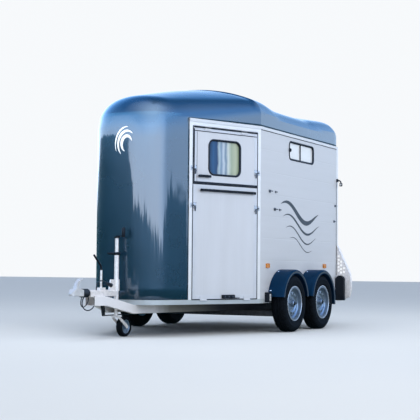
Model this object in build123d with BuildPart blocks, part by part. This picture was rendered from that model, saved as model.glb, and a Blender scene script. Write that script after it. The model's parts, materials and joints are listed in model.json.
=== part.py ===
from build123d import *
import os
from math import atan, cos, hypot, radians, sin, sqrt, tan

# A twin-axle horse trailer, in millimetres.
# x runs forward from the rear end of the side walls, y to the left, z up from the ground.
# Each finished piece is shifted along x, so that the origin is under the middle of the whole length.

os.makedirs("parts", exist_ok=True)

# Body: plan and heights
half_width = 931
bend_x = 2258
taper = radians(22.09)
nose_x = 3646
nose_radius = 200
wall_thickness = 30
base_z = 335
base_height = 50
base_width = 50
eaves_z = 2311
rail_height = 32
rail_proud = 8
floor_thickness = 28
hood_thickness = 24
wall_z = base_z + base_height
wall_top_z = eaves_z - rail_height

# Roof hood: rounding of its front and rear ends in side view, with heights above the eaves
hood_front_radius = 345
hood_front_z = eaves_z - 86
hood_rear_radius = 256
hood_rear_z = eaves_z + 129
hood_lean = radians(12.6)
nose_length = nose_x - bend_x

# Side exit in the left tapered wall, measured along the wall from the bend
door_frame_length = 1017
frame_width = 48
leaf_gap = 6
leaf_thickness = 30
side_split_z = eaves_z - 694
split_gap = 12

# Fittings of the side exit
grip_z = side_split_z - 65
grip_rear_margin = 36
grip_front_margin = 83
grip_height = 22
grip_out = 18
grip_thickness = 12
flap_grip_margin = 58
flap_grip_z = side_split_z + 85
flap_grip_length = 170
catch_s = door_frame_length / 2 - 36.5
catch_length = 175
catch_height = 40
catch_depth = 26

# Cam latches at the leaves' edges and the keepers that they hook over
latch_inset = 22
latch_width = 46
latch_height = 74
latch_plate = 4
latch_boss_radius = 14
hook_lift = 8
hook_thickness = 4
hook_reach = 50
hook_width = 14
latch_handle = 62
keeper_width = 24
keeper_height = 56
keeper_thickness = 3
flap_latch_z = side_split_z + 165
ramp_latch_z = side_split_z - 232

# Clips on the left wall behind the side exit: x of the peg, x of the spring clip, height
wall_clips = ((bend_x - 218, bend_x - 405, 1600), (bend_x - 354, bend_x - 517, 1400))
peg_radius = 6
peg_length = 22

# Outline lamps on rubber arms at the rear corners
outline_lamp_z = eaves_z - 485
outline_lamp_out = 50
outline_lamp_radius = 18

# Rear end
rear_depth = 50
post_width = 60
rear_beam_height = 60
rear_split_z = eaves_z - 870
rear_latch_z = rear_split_z - 56

# Hinges
hinge_radius = 7
hinge_offset = 8
hinge_length = 90

# Windows
pane_thickness = 4
gasket_width = 22
gasket_proud = 6
side_window = (bend_x / 2 - 3, eaves_z - 193, 744, 230, 60)
door_window = (door_frame_length / 2 + 17.5, eaves_z - 398, 468, 398, 80)
rear_window = (0, eaves_z - 461, 900, 320, 70)

# Running gear
front_axle_x = 1693
rear_axle_x = 869
wheel_y = 1026
tyre_radius = 325
tyre_half = 87.5
rim_radius = 195
rim_flange = 6
bead_radius = 178
bead_y = 70
vent_circle = 118
vent_radius = 13
vent_count = 10
bolt_circle = 56
bolt_radius = 11
drum_radius = 110
drum_width = 62
drum_y = -88
spindle_radius = 20
axle_tube = 70
axle_corner = 14
axle_lead = 115
arm_inner_y = 901
pivot_boss_radius = 34
hub_boss_radius = 26
arm_relief = 70
guard_y = 1128
guard_radius = 366
guard_thickness = 8
guard_z = 348
guard_lip = 48
guard_skirt_z = 405
guard_rear_skirt_z = 290

# Rear corner plates and lamps
plate_thickness = 3
hole_radius = 15
lamp_y = 992
lamp_z = 484
lamp_width = 122
lamp_height = 316
lamp_depth = 45

# Side markers
marker_length = 84
marker_height = 52
marker_corner = 11
marker_depth = 14

# Inside
partition_thickness = 40
partition_rear_x = 300
partition_front_x = 2200

# Drawbar
beam_height = 90
beam_width = 50
beam_wall = 6
beam_z = 245
beam_tip_x = 4210
beam_tip_y = 35
beam_spread_x = 1450
beam_spread_y = 600
drawbar_tip_z = 335
crank_front_x = 4040
crank_rear_x = 3660
beam_rear_x = 40
member_width = 60

# Overrun device and coupling
housing_half_width = 42
housing_rear_x = 3800
housing_front_x = 4262
housing_top_z = 490
shaft_z = 462
bellows_front_x = 4370
bellows_radius = 45
head_front_x = 4554
ball_x = 4490
ball_diameter = 50
ball_depth = 34
head_half_width = 36
head_z = 440
head_top_z = 506
lever_half_width = 20

linkage_y = -50
linkage_radius = 6

# Jockey wheel and handbrake
jockey_x = 3740
jockey_tube_radius = 24
jockey_rod_radius = 18
jockey_top_z = 1022
jockey_low_z = 330
jockey_collar_z = 847
jockey_collar_height = 30
upper_tube_radius = 19
collar_handle_length = 118
clamp_plate = 14
clamp_lever_length = 150
crank_reach = 80
jockey_wheel_x = 3590
jockey_wheel_radius = 105
jockey_wheel_width = 70
rod_engagement = 400
fork_plate = 5
clamp_z = 478
clamp_height = 117
brake_x = 4021
brake_radius = 11
brake_tube_length = 200
brake_grip_reach = 133
brake_grip_rise = 151
linkage_front_x = 3900

axle_z = beam_z - axle_tube / 2
rear_face_x = -rear_depth

# Cross-sections of the hood: x, height above the eaves where the shoulder starts, shoulder radius,
# crown height above the eaves
hood_sections = (
    (rear_face_x, 129, 190, 383),
    (rear_face_x + 300, 129, 190, 383),
    (rear_face_x + 620, 129, 190, 379),
    (rear_face_x + 750, 119, 190, 357),
    (rear_face_x + 850, 79, 180, 313),
    (bend_x - 928, 77, 180, 311),
    (bend_x - 638, 84, 180, 327),
    (bend_x - 498, 89, 180, 353),
    (bend_x - 398, 97, 190, 383),
    (bend_x - 288, 114, 200, 433),
    (bend_x - 148, 129, 200, 475),
    (bend_x, 129, 200, 469),
    (bend_x + 0.32 * nose_length, 39, 250, 394),
    (bend_x + 0.68 * nose_length, -61, 305, 291),
    (nose_x + 14, -111, 332, 189),
)
hinge_rear_x = rear_face_x - hinge_offset
latch_out = hinge_offset + hinge_radius
rear_extent_x = hinge_rear_x - hinge_radius
mid_x = (head_front_x + rear_extent_x) / 2


def keep(piece, name):
    """Label a finished piece, shift it to the common origin and write it."""
    piece.part.label = name
    shifted = piece.part.moved(Location((-mid_x, 0, 0)))
    shifted.label = name
    export_step(shifted, f"parts/{name}.step")


def side_y(x, inset=0.0):
    """Half width of the plan outline at x, for an outline drawn inset from the outer faces."""
    straight = half_width - inset
    return min(straight, half_width - (x - bend_x) * tan(taper) - inset / cos(taper))


def plan(inset, rear_x=0.0, mode=Mode.ADD):
    """The body's plan outline, drawn in the open sketch."""
    bend = bend_x - inset * tan(taper / 2)
    front = nose_x - inset
    corner = side_y(front, inset)
    side = half_width - inset
    with BuildLine() as outline:
        FilletPolyline(
            (bend, -side), (front, -corner), (front, corner), (bend, side), radius=nose_radius - inset
        )
        Polyline((bend, side), (rear_x, side), (rear_x, -side), (bend, -side))
    make_face(outline.edges(), mode=mode)


def along_taper(s, depth=0.0, side=1):
    """Plan point s along a tapered wall from the bend, depth inward from its outer face."""
    x = bend_x + s * cos(taper) - depth * sin(taper)
    y = half_width - s * sin(taper) - depth * cos(taper)
    return (x, side * y)


# Working planes: x along the wall, y up, extrusion inward
left_wall = Plane(origin=(0, half_width, 0), x_dir=(1, 0, 0), z_dir=(0, -1, 0))
left_taper = Plane(
    origin=(bend_x, half_width, 0),
    x_dir=(cos(taper), -sin(taper), 0),
    z_dir=(-sin(taper), -cos(taper), 0),
)
rear_plane = Plane(origin=(rear_face_x, 0, 0), x_dir=(0, 1, 0), z_dir=(1, 0, 0))


def window_cut(plane, window, depth):
    """Cut a window's hole through the open part, inside its gasket."""
    x, z, width, height, radius = window
    with BuildSketch(plane) as hole:
        with Locations((x, z)):
            RectangleRounded(width - gasket_width, height - gasket_width, radius - gasket_width / 2)
    extrude(hole.sketch, amount=depth, mode=Mode.SUBTRACT)


def window_gasket(plane, window, depth, bar=None):
    """A rubber gasket: an outer lip round the hole and a sleeve through it, with an optional upright bar."""
    x, z, width, height, radius = window
    hole = (width - gasket_width, height - gasket_width, radius - gasket_width / 2)
    inner = (width - 2 * gasket_width, height - 2 * gasket_width, radius - gasket_width)
    with BuildPart() as gasket:
        with BuildSketch(plane):
            with Locations((x, z)):
                RectangleRounded(width, height, radius)
                RectangleRounded(*inner, mode=Mode.SUBTRACT)
        extrude(amount=-gasket_proud)
        with BuildSketch(plane):
            with Locations((x, z)):
                RectangleRounded(*hole)
                RectangleRounded(*inner, mode=Mode.SUBTRACT)
        extrude(amount=depth)
        if bar:
            with BuildSketch(plane):
                with Locations((x + bar, z)):
                    Rectangle(14, height - gasket_width * 1.5)
            extrude(amount=depth / 2 - pane_thickness / 2)
    return gasket


def window_pane(plane, window, depth):
    """Glass in the middle of a gasket."""
    x, z, width, height, radius = window
    inner = (width - 2 * gasket_width, height - 2 * gasket_width, radius - gasket_width)
    with BuildPart() as pane:
        with BuildSketch(plane.offset(depth / 2 - pane_thickness / 2)):
            with Locations((x, z)):
                RectangleRounded(*inner)
        extrude(amount=pane_thickness)
    return pane


# Base frame: the perimeter sill that carries the floor and the walls
with BuildPart() as base_frame:
    with BuildSketch(Plane.XY.offset(base_z)):
        plan(0)
        plan(base_width, rear_x=base_width, mode=Mode.SUBTRACT)
    extrude(amount=base_height)
    with BuildSketch(Plane.XY.offset(base_z)):
        for axle_x in (front_axle_x, rear_axle_x):
            with Locations((axle_x, 0)):
                Rectangle(2 * arm_relief, 2 * half_width)
                Rectangle(2 * arm_relief, 2 * (arm_inner_y - leaf_gap), mode=Mode.SUBTRACT)
    extrude(amount=tyre_radius + hub_boss_radius + leaf_gap - base_z, mode=Mode.SUBTRACT)
keep(base_frame, "base_frame")

with BuildPart() as floor:
    with BuildSketch(Plane.XY.offset(base_z)):
        plan(base_width, rear_x=base_width)
    extrude(amount=floor_thickness)
keep(floor, "floor")


# Side walls of the rear section
with BuildPart() as rear_wall_left:
    with BuildSketch(Plane.XY.offset(wall_z)):
        inner_bend = bend_x - wall_thickness * tan(taper / 2)
        with BuildLine():
            Polyline(
                (0, half_width), (bend_x, half_width),
                (inner_bend, half_width - wall_thickness), (0, half_width - wall_thickness),
                close=True,
            )
        make_face()
    extrude(amount=wall_top_z - wall_z)
    window_cut(left_wall, side_window, wall_thickness)
keep(rear_wall_left, "rear_wall_left")

with BuildPart() as rear_wall_right:
    mirror(rear_wall_left.part, about=Plane.XZ)
keep(rear_wall_right, "rear_wall_right")


def taper_strip(height_z, height):
    """A strip of tapered wall from the bend to the nose panel, mitred at the bend."""
    inner = wall_thickness * tan(taper / 2)
    with BuildSketch(Plane.XY.offset(height_z)) as strip:
        with BuildLine():
            Polyline(
                along_taper(0), along_taper(door_frame_length),
                along_taper(door_frame_length, wall_thickness), along_taper(inner, wall_thickness),
                close=True,
            )
        make_face()
    extrude(strip.sketch, amount=height)


# Left tapered wall: the frame of the side exit
with BuildPart() as side_door_frame:
    taper_strip(wall_z, wall_top_z - wall_z)
    with BuildSketch(left_taper):
        opening_height = wall_top_z - frame_width - wall_z
        with Locations((door_frame_length / 2, wall_z + opening_height / 2)):
            Rectangle(door_frame_length - 2 * frame_width, opening_height)
    extrude(amount=wall_thickness, mode=Mode.SUBTRACT)
keep(side_door_frame, "side_door_frame")

# Right tapered wall: a plain panel with a window
with BuildPart() as front_wall_right:
    taper_strip(wall_z, wall_top_z - wall_z)
    window_cut(left_taper, door_window, wall_thickness)
with BuildPart() as front_wall_right_placed:
    mirror(front_wall_right.part, about=Plane.XZ)
keep(front_wall_right_placed, "front_wall_right")

# Top rails under the roof hood
with BuildPart() as top_rail_left:
    with BuildSketch(Plane.XY.offset(wall_top_z)):
        with BuildLine():
            outer_bend = bend_x + rail_proud * tan(taper / 2)
            inner_bend = bend_x - wall_thickness * tan(taper / 2)
            Polyline(
                (0, half_width + rail_proud), (outer_bend, half_width + rail_proud),
                along_taper(door_frame_length, -rail_proud),
                along_taper(door_frame_length, wall_thickness),
                (inner_bend, half_width - wall_thickness), (0, half_width - wall_thickness),
                close=True,
            )
        make_face()
    extrude(amount=rail_height)
keep(top_rail_left, "top_rail_left")

with BuildPart() as top_rail_right:
    mirror(top_rail_left.part, about=Plane.XZ)
keep(top_rail_right, "top_rail_right")


def hood_profile(x, shoulder_rise, radius, crown_rise, inset):
    """Cross-section of the hood at x: upright sides, round shoulders and a crowned top."""
    shoulder_z = eaves_z + shoulder_rise
    crown_z = eaves_z + crown_rise
    half = side_y(x, inset)
    shoulder_y = half - (radius - inset)
    rise = crown_z - inset - shoulder_z
    r = radius - inset
    crown_radius = (shoulder_y**2 + rise**2 - r**2) / (2 * (rise - r))
    scale = crown_radius / (crown_radius - r)
    tangent_y = shoulder_y * scale
    tangent_z = crown_z - inset - crown_radius + scale * (shoulder_z - crown_z + inset + crown_radius)
    low_z = hood_front_z - 125
    middle_y = shoulder_y + r * sqrt(0.5)
    middle_z = shoulder_z + r * sqrt(0.5)
    with BuildSketch(Plane(origin=(x, 0, 0), x_dir=(0, 1, 0), z_dir=(1, 0, 0))) as section:
        with BuildLine():
            Polyline((-half, shoulder_z), (-half, low_z), (half, low_z), (half, shoulder_z))
            ThreePointArc((half, shoulder_z), (middle_y, middle_z), (tangent_y, tangent_z))
            ThreePointArc((tangent_y, tangent_z), (0, crown_z - inset), (-tangent_y, tangent_z))
            ThreePointArc((-tangent_y, tangent_z), (-middle_y, middle_z), (-half, shoulder_z))
        make_face()
    return section.sketch


def hood_solid(inset):
    """The volume under the hood's outer skin, or under its inner skin when inset."""
    front = nose_x - inset
    rear = rear_face_x + inset
    front_radius = hood_front_radius - inset
    rear_radius = hood_rear_radius - inset
    top_z = hood_front_z + 800
    low_z = hood_front_z - 200
    back = front - nose_length
    front_arc_end = (
        front - front_radius * (1 - sin(hood_lean)), hood_front_z + front_radius * cos(hood_lean)
    )
    front_arc_mid = (
        front - front_radius * (1 - cos(radians(35))),
        hood_front_z + front_radius * sin(radians(35)),
    )
    with BuildPart() as solid:
        loft([hood_profile(*section, inset) for section in hood_sections], ruled=True)
        with BuildSketch(Plane.XY.offset(low_z)):
            plan(inset, rear_x=rear)
        extrude(amount=top_z - low_z, mode=Mode.INTERSECT)
        with BuildSketch(Plane.XZ):
            with BuildLine():
                ThreePointArc((front, hood_front_z), front_arc_mid, front_arc_end)
                Polyline(
                    front_arc_end,
                    (back, front_arc_end[1] + (front_arc_end[0] - back) * tan(hood_lean)),
                    (rear + rear_radius, top_z),
                    (rear + rear_radius, hood_rear_z + rear_radius),
                )
                ThreePointArc(
                    (rear + rear_radius, hood_rear_z + rear_radius),
                    (rear + rear_radius * (1 - sqrt(0.5)), hood_rear_z + rear_radius * sqrt(0.5)),
                    (rear, hood_rear_z),
                )
                Polyline((rear, hood_rear_z), (rear, low_z), (front, low_z), (front, hood_front_z))
            make_face()
        extrude(amount=half_width + 50, both=True, mode=Mode.INTERSECT)
    return solid


def nose_ring(height_z, height, mode=Mode.ADD):
    """The band of the nose panel, from one tapered wall round to the other."""
    with BuildSketch(Plane.XY.offset(height_z)) as ring:
        plan(0)
        plan(wall_thickness, mode=Mode.SUBTRACT)
        with BuildLine():
            Polyline(
                along_taper(door_frame_length, -100), along_taper(door_frame_length, 100),
                along_taper(door_frame_length, 100, -1), along_taper(door_frame_length, -100, -1),
                (nose_x + 100, -half_width), (nose_x + 100, half_width),
                close=True,
            )
        make_face(mode=Mode.INTERSECT)
    extrude(ring.sketch, amount=height, mode=mode)


# Roof hood: a hollow shell over the whole body, standing on the rails and the nose panel
hood_outer = hood_solid(0)
hood_inner = hood_solid(hood_thickness)
with BuildPart() as roof_hood:
    add(hood_outer.part)
    add(hood_inner.part, mode=Mode.SUBTRACT)
    split(bisect_by=Plane.XY.offset(eaves_z), keep=Keep.TOP)
keep(roof_hood, "roof_hood")

# Nose panel: the moulded front, from the base frame up to the hood
with BuildPart() as nose_panel:
    nose_ring(wall_z, eaves_z - wall_z)
    add(hood_outer.part, mode=Mode.INTERSECT)
    nose_ring(wall_z, hood_front_z - 100 - wall_z)
keep(nose_panel, "nose_panel")

# Rear frame
with BuildPart() as rear_frame:
    with BuildSketch(rear_plane):
        with Locations((0, (base_z + eaves_z) / 2)):
            Rectangle(2 * half_width, eaves_z - base_z)
        with Locations((0, (wall_z + eaves_z - rear_beam_height) / 2)):
            Rectangle(
                2 * (half_width - post_width), eaves_z - rear_beam_height - wall_z, mode=Mode.SUBTRACT
            )
    extrude(amount=rear_depth)
keep(rear_frame, "rear_frame")


def leaf(plane, left, right, low_z, high_z):
    """A door leaf, flush with its frame."""
    with BuildSketch(plane) as panel:
        with Locations(((left + right) / 2, (low_z + high_z) / 2)):
            Rectangle(right - left, high_z - low_z)
    extrude(panel.sketch, amount=leaf_thickness)


def hinge(plane, z, places, towards):
    """Hinge barrels outside the leaf's edge, each with a strap back onto the leaf."""
    for place in places:
        end = plane.from_local_coords((place - hinge_length / 2, z, -hinge_offset))
        with BuildSketch(Plane(origin=end, x_dir=plane.z_dir, z_dir=plane.x_dir)) as barrel:
            Circle(hinge_radius)
        extrude(barrel.sketch, amount=hinge_length)
        with BuildSketch(plane) as strap:
            with Locations((place, z + towards * 20)):
                Rectangle(hinge_length, 40)
        extrude(strap.sketch, amount=-hinge_offset)


side_left = frame_width + leaf_gap
side_right = door_frame_length - frame_width - leaf_gap
side_flap_top_z = wall_top_z - frame_width - leaf_gap
side_hinge_z = wall_z - hinge_radius
side_flap_hinge_z = wall_top_z - frame_width + hinge_radius

# Side flap: the upper leaf of the side exit, hung at its top edge
with BuildPart() as side_flap:
    leaf(left_taper, side_left, side_right, side_split_z + split_gap / 2, side_flap_top_z)
    window_cut(left_taper, door_window, leaf_thickness)
    hinge(left_taper, side_flap_hinge_z, (side_left + 196, side_right - 193), -1)
keep(side_flap, "side_flap")

# Side ramp: the lower leaf, hinged at its bottom edge
with BuildPart() as side_ramp:
    leaf(left_taper, side_left, side_right, wall_z + leaf_gap, side_split_z - split_gap / 2)
    hinge(left_taper, side_hinge_z, (side_left + 146, side_right - 146), 1)
keep(side_ramp, "side_ramp")


def grip(plane, start, end, z, feet):
    """A flat grip bar on short feet, added to the open part."""
    with BuildSketch(plane.offset(-grip_out)) as bar:
        with Locations(((start + end) / 2, z)):
            RectangleRounded(end - start, grip_height, grip_height / 3)
    extrude(bar.sketch, amount=-grip_thickness)
    with BuildSketch(plane) as posts:
        with Locations(*((start + (end - start) * share, z) for share in feet)):
            Rectangle(grip_height, grip_height - 4)
    extrude(posts.sketch, amount=-grip_out)


def latch(plane, place, z, towards):
    """A cam latch: base plate, round boss, a hook that reaches over the frame, and a hanging handle."""
    with BuildSketch(plane) as base:
        with Locations((place, z)):
            RectangleRounded(latch_width, latch_height, latch_width / 6)
    extrude(base.sketch, amount=-latch_plate)
    with BuildSketch(plane) as boss:
        with Locations((place, z)):
            Circle(latch_boss_radius)
    extrude(boss.sketch, amount=-latch_out)
    with BuildSketch(plane.offset(-hook_lift)) as hook:
        with Locations((place + towards * hook_reach / 2, z)):
            Rectangle(hook_reach, hook_width)
    extrude(hook.sketch, amount=-hook_thickness)
    with BuildSketch(plane.offset(hook_thickness - latch_out)) as handle:
        with Locations((place, z - latch_handle / 2)):
            SlotOverall(latch_handle, hook_width, rotation=90)
    extrude(handle.sketch, amount=-hook_thickness)


def keeper(plane, place, z):
    """The plate on the frame under a latch's hook."""
    with BuildSketch(plane) as plate:
        with Locations((place, z)):
            RectangleRounded(keeper_width, keeper_height, keeper_width / 4)
    extrude(plate.sketch, amount=-keeper_thickness)


latch_places = ((side_left + latch_inset, -1), (side_right - latch_inset, 1))

# Fittings of the flap: a latch at each edge and a short grip
with BuildPart() as side_flap_fittings:
    for place, towards in latch_places:
        latch(left_taper, place, flap_latch_z, towards)
    flap_grip_end = side_right - flap_grip_margin
    grip(left_taper, flap_grip_end - flap_grip_length, flap_grip_end, flap_grip_z, (0.12, 0.88))
keep(side_flap_fittings, "side_flap_fittings")

# Fittings of the ramp: a latch at each edge, a long grip bar and the catch housing at its foot
with BuildPart() as side_ramp_fittings:
    for place, towards in latch_places:
        latch(left_taper, place, ramp_latch_z, towards)
    grip(left_taper, side_left + grip_rear_margin, side_right - grip_front_margin, grip_z, (0.05, 0.5, 0.95))
    with BuildSketch(left_taper):
        with Locations((catch_s, wall_z + leaf_gap + 3 + catch_height / 2)):
            RectangleRounded(catch_length, catch_height, 6)
    extrude(amount=-catch_depth)
keep(side_ramp_fittings, "side_ramp_fittings")

rear_half = half_width - post_width - leaf_gap
rear_flap_top_z = eaves_z - rear_beam_height - leaf_gap
rear_flap_hinge_z = eaves_z - rear_beam_height + hinge_radius

with BuildPart() as rear_ramp:
    leaf(rear_plane, -rear_half, rear_half, wall_z + leaf_gap, rear_split_z - split_gap / 2)
    hinge(rear_plane, side_hinge_z, (-600, 0, 600), 1)
keep(rear_ramp, "rear_ramp")

with BuildPart() as rear_flap:
    leaf(rear_plane, -rear_half, rear_half, rear_split_z + split_gap / 2, rear_flap_top_z)
    window_cut(rear_plane, rear_window, leaf_thickness)
    hinge(rear_plane, rear_flap_hinge_z, (-600, 600), -1)
keep(rear_flap, "rear_flap")

with BuildPart() as rear_ramp_latches:
    for side in (1, -1):
        latch(rear_plane, side * (rear_half - latch_inset), rear_latch_z, side)
keep(rear_ramp_latches, "rear_ramp_latches")

# Fittings of the walls: keepers of the latches, and two clips behind the side exit, each with its peg
keeper_reach = hook_reach - keeper_width / 4
with BuildPart() as wall_fittings:
    for place, towards in latch_places:
        for z in (flap_latch_z, ramp_latch_z):
            keeper(left_taper, place + towards * keeper_reach, z)
    for side in (1, -1):
        keeper(rear_plane, side * (rear_half - latch_inset + keeper_reach), rear_latch_z)
    for peg_x, clip_x, z in wall_clips:
        with BuildSketch(left_wall):
            with Locations((peg_x - 20, z)):
                RectangleRounded(52, 34, 8)
        extrude(amount=-latch_plate)
        with BuildSketch(left_wall):
            with Locations((peg_x, z)):
                Circle(peg_radius)
            with Locations((clip_x, z)):
                SlotOverall(50, 2 * peg_radius)
        extrude(amount=-peg_length)
keep(wall_fittings, "wall_fittings")

# Windows: rubber gaskets and panes
side_gasket = window_gasket(left_wall, side_window, wall_thickness, bar=30)
side_pane = window_pane(left_wall, side_window, wall_thickness)
door_gasket = window_gasket(left_taper, door_window, leaf_thickness)
door_pane = window_pane(left_taper, door_window, leaf_thickness)
with BuildPart() as body_gaskets:
    add(side_gasket.part)
    mirror(side_gasket.part, about=Plane.XZ)
    mirror(door_gasket.part, about=Plane.XZ)
keep(body_gaskets, "body_window_gaskets")
with BuildPart() as body_panes:
    add(side_pane.part)
    mirror(side_pane.part, about=Plane.XZ)
    mirror(door_pane.part, about=Plane.XZ)
keep(body_panes, "body_window_panes")
keep(door_gasket, "side_flap_gasket")
keep(door_pane, "side_flap_pane")
keep(window_gasket(rear_plane, rear_window, leaf_thickness), "rear_flap_gasket")
keep(window_pane(rear_plane, rear_window, leaf_thickness), "rear_flap_pane")

# Drawbar: two beams that meet at the overrun device and run back under the floor
spread = beam_spread_x - beam_tip_x
beam_angle = atan((beam_spread_y - beam_tip_y) / -spread)
beam_run = hypot(spread, beam_spread_y - beam_tip_y)
beam_plane = Plane(
    origin=(beam_tip_x, beam_tip_y, 0),
    x_dir=(-cos(beam_angle), sin(beam_angle), 0),
    z_dir=(sin(beam_angle), cos(beam_angle), 0),
)
crank_front = (beam_tip_x - crank_front_x) / cos(beam_angle)
crank_rear = (beam_tip_x - crank_rear_x) / cos(beam_angle)


def beam_outline(inset):
    """Side view of the front part of a beam, level at its tip and cranked down to the chassis."""
    with BuildLine() as outline:
        Polyline(
            (0, drawbar_tip_z + inset), (crank_front, drawbar_tip_z + inset),
            (crank_rear, beam_z + inset), (beam_run, beam_z + inset),
            (beam_run, beam_z + beam_height - inset), (crank_rear, beam_z + beam_height - inset),
            (crank_front, drawbar_tip_z + beam_height - inset),
            (0, drawbar_tip_z + beam_height - inset),
            close=True,
        )
    make_face(outline.edges())


with BuildPart() as drawbar_left:
    with BuildSketch(beam_plane.offset(-beam_width / 2)):
        beam_outline(0)
    extrude(amount=beam_width)
    with BuildSketch(beam_plane.offset(-beam_width / 2)):
        beam_outline(beam_wall)
    extrude(amount=beam_width - beam_wall, mode=Mode.SUBTRACT)
    with BuildSketch(Plane.XY.offset(beam_z)):
        with Locations(((beam_rear_x + beam_spread_x) / 2, beam_spread_y)):
            Rectangle(beam_spread_x - beam_rear_x, beam_width)
    extrude(amount=beam_height)
    with BuildSketch(Plane.XY.offset(beam_z + beam_wall)):
        with Locations(((beam_rear_x + beam_spread_x) / 2, beam_spread_y - beam_wall / 2)):
            Rectangle(beam_spread_x - beam_rear_x, beam_width - beam_wall)
    extrude(amount=beam_height - 2 * beam_wall, mode=Mode.SUBTRACT)
with BuildPart() as drawbar:
    add(drawbar_left.part)
    mirror(drawbar_left.part, about=Plane.XZ)
keep(drawbar, "drawbar_beams")


def web_y(x):
    """Inner face of a beam's web at x."""
    if x < beam_spread_x:
        return beam_spread_y + beam_width / 2 - beam_wall
    centre = beam_tip_y + (beam_tip_x - x) * tan(beam_angle)
    return centre + (beam_width / 2 - beam_wall) / cos(beam_angle)


# Cross members between the beams' webs
with BuildPart() as cross_members:
    with BuildSketch(Plane.XY.offset(beam_z + beam_wall)):
        for x in (100, 1240, 2080, 2900):
            with BuildLine():
                Polyline(
                    (x, web_y(x)), (x + member_width, web_y(x + member_width)),
                    (x + member_width, -web_y(x + member_width)), (x, -web_y(x)),
                    close=True,
                )
            make_face()
    extrude(amount=beam_height - 2 * beam_wall)
keep(cross_members, "cross_members")


def axle(x):
    """A torsion axle: a tube under the beams, a trailing arm at each end, stub axles and backplates."""
    with BuildPart() as part:
        with BuildSketch(Plane.XZ.offset(-arm_inner_y)):
            with Locations((x + axle_lead, axle_z)):
                RectangleRounded(axle_tube, axle_tube, axle_corner)
        extrude(amount=2 * arm_inner_y)
        with BuildSketch(Plane.XZ.offset(-arm_inner_y)):
            with Locations((x + axle_lead, axle_z)):
                Circle(pivot_boss_radius)
            with Locations((x, tyre_radius)):
                Circle(hub_boss_radius)
            make_hull()
        extrude(amount=arm_inner_y - half_width)
        with BuildSketch(Plane.XZ.offset(-half_width - 1)):
            with Locations((x, tyre_radius)):
                Circle(drum_radius - 6)
        extrude(amount=-4)
        with BuildSketch(Plane.XZ.offset(-arm_inner_y)):
            with Locations((x, tyre_radius)):
                Circle(spindle_radius)
        extrude(amount=-(wheel_y + 40 - arm_inner_y))
        mirror(about=Plane.XZ)
    return part


keep(axle(front_axle_x), "axle_front")
keep(axle(rear_axle_x), "axle_rear")


def wheel_plane(x):
    """Half-section plane of a left wheel: radius along its x, width along its y, outward."""
    return Plane(origin=(x, wheel_y, tyre_radius), x_dir=(1, 0, 0), z_dir=(0, 0, 1))


def spin(x):
    """Axis of the wheels at x."""
    return Axis((x, wheel_y, tyre_radius), (0, 1, 0))


def tyre(x):
    """A tyre, filled inside, seated between the rim's flanges."""
    with BuildPart() as part:
        with BuildSketch(wheel_plane(x)):
            with BuildLine():
                Polyline(
                    (bead_radius, -bead_y), (rim_radius + 2, -bead_y), (218, -tyre_half + 4),
                    (256, -tyre_half), (294, -tyre_half + 5), (315, -tyre_half + 18),
                    (tyre_radius, -tyre_half + 38), (tyre_radius, tyre_half - 38),
                    (315, tyre_half - 18), (294, tyre_half - 5), (256, tyre_half),
                    (218, tyre_half - 4), (rim_radius + 2, bead_y), (bead_radius, bead_y),
                    close=True,
                )
            make_face()
        revolve(axis=spin(x))
    return part


def rim(x):
    """A steel rim with its dished disc, hub, brake drum, wheel bolts and grease cap."""
    flange_y = bead_y + rim_flange
    well = bead_radius - 18
    with BuildPart() as part:
        with BuildSketch(wheel_plane(x)):
            with BuildLine():
                Polyline(
                    (rim_radius, -flange_y), (rim_radius, -bead_y), (bead_radius, -bead_y),
                    (bead_radius, -46), (well, -38), (well, 26), (bead_radius, 40),
                    (bead_radius, bead_y), (rim_radius, bead_y), (rim_radius, flange_y),
                    (bead_radius - 5, flange_y), (bead_radius - 5, 43), (well - 5, 29),
                    (132, 46), (104, 48), (84, 35), (33, 35), (33, 30), (86, 30),
                    (106, 43), (130, 41), (well - 5, 22),
                    (well - 5, -41), (bead_radius - 5, -49), (bead_radius - 5, -flange_y),
                    close=True,
                )
            make_face()
        revolve(axis=spin(x))
        face_plane = Plane(origin=(x, wheel_y, tyre_radius), x_dir=(1, 0, 0), z_dir=(0, 1, 0))
        with BuildSketch(face_plane):
            with PolarLocations(vent_circle, vent_count):
                Circle(vent_radius)
        extrude(amount=60, mode=Mode.SUBTRACT)
        with BuildSketch(wheel_plane(x)):
            with BuildLine():
                Polyline(
                    (spindle_radius + 1, drum_y + 8), (drum_radius - 6, drum_y + 8), (drum_radius - 6, drum_y),
                    (drum_radius, drum_y), (drum_radius, drum_y + drum_width),
                    (78, drum_y + drum_width + 8), (78, 30), (33, 30), (33, 68), (26, 74),
                    (0, 74), (0, 44), (spindle_radius + 1, 44),
                    close=True,
                )
            make_face()
        revolve(axis=spin(x))
        with BuildSketch(face_plane.offset(35)):
            with PolarLocations(bolt_circle, 5):
                RegularPolygon(bolt_radius, 6)
        extrude(amount=14)
    return part


for place, x in (("front", front_axle_x), ("rear", rear_axle_x)):
    left_tyre = tyre(x)
    left_rim = rim(x)
    keep(left_tyre, f"tyre_{place}_left")
    keep(left_rim, f"rim_{place}_left")
    with BuildPart() as right_tyre:
        mirror(left_tyre.part, about=Plane.XZ)
    keep(right_tyre, f"tyre_{place}_right")
    with BuildPart() as right_rim:
        mirror(left_rim.part, about=Plane.XZ)
    keep(right_rim, f"rim_{place}_right")


def guard(x, rear_z):
    """A mudguard: a round arch from the wall out over the wheel, with a broad outer lip."""
    with BuildPart() as part:
        with BuildSketch(Plane.XZ.offset(-guard_y)) as band:
            guard_ring(x, guard_radius, guard_radius - guard_thickness, rear_z)
        extrude(band.sketch, amount=guard_y - half_width)
        with BuildSketch(Plane.XZ.offset(-guard_y)) as lip:
            guard_ring(x, guard_radius, guard_radius - guard_lip, rear_z)
        extrude(lip.sketch, amount=guard_thickness)
    return part


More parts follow.
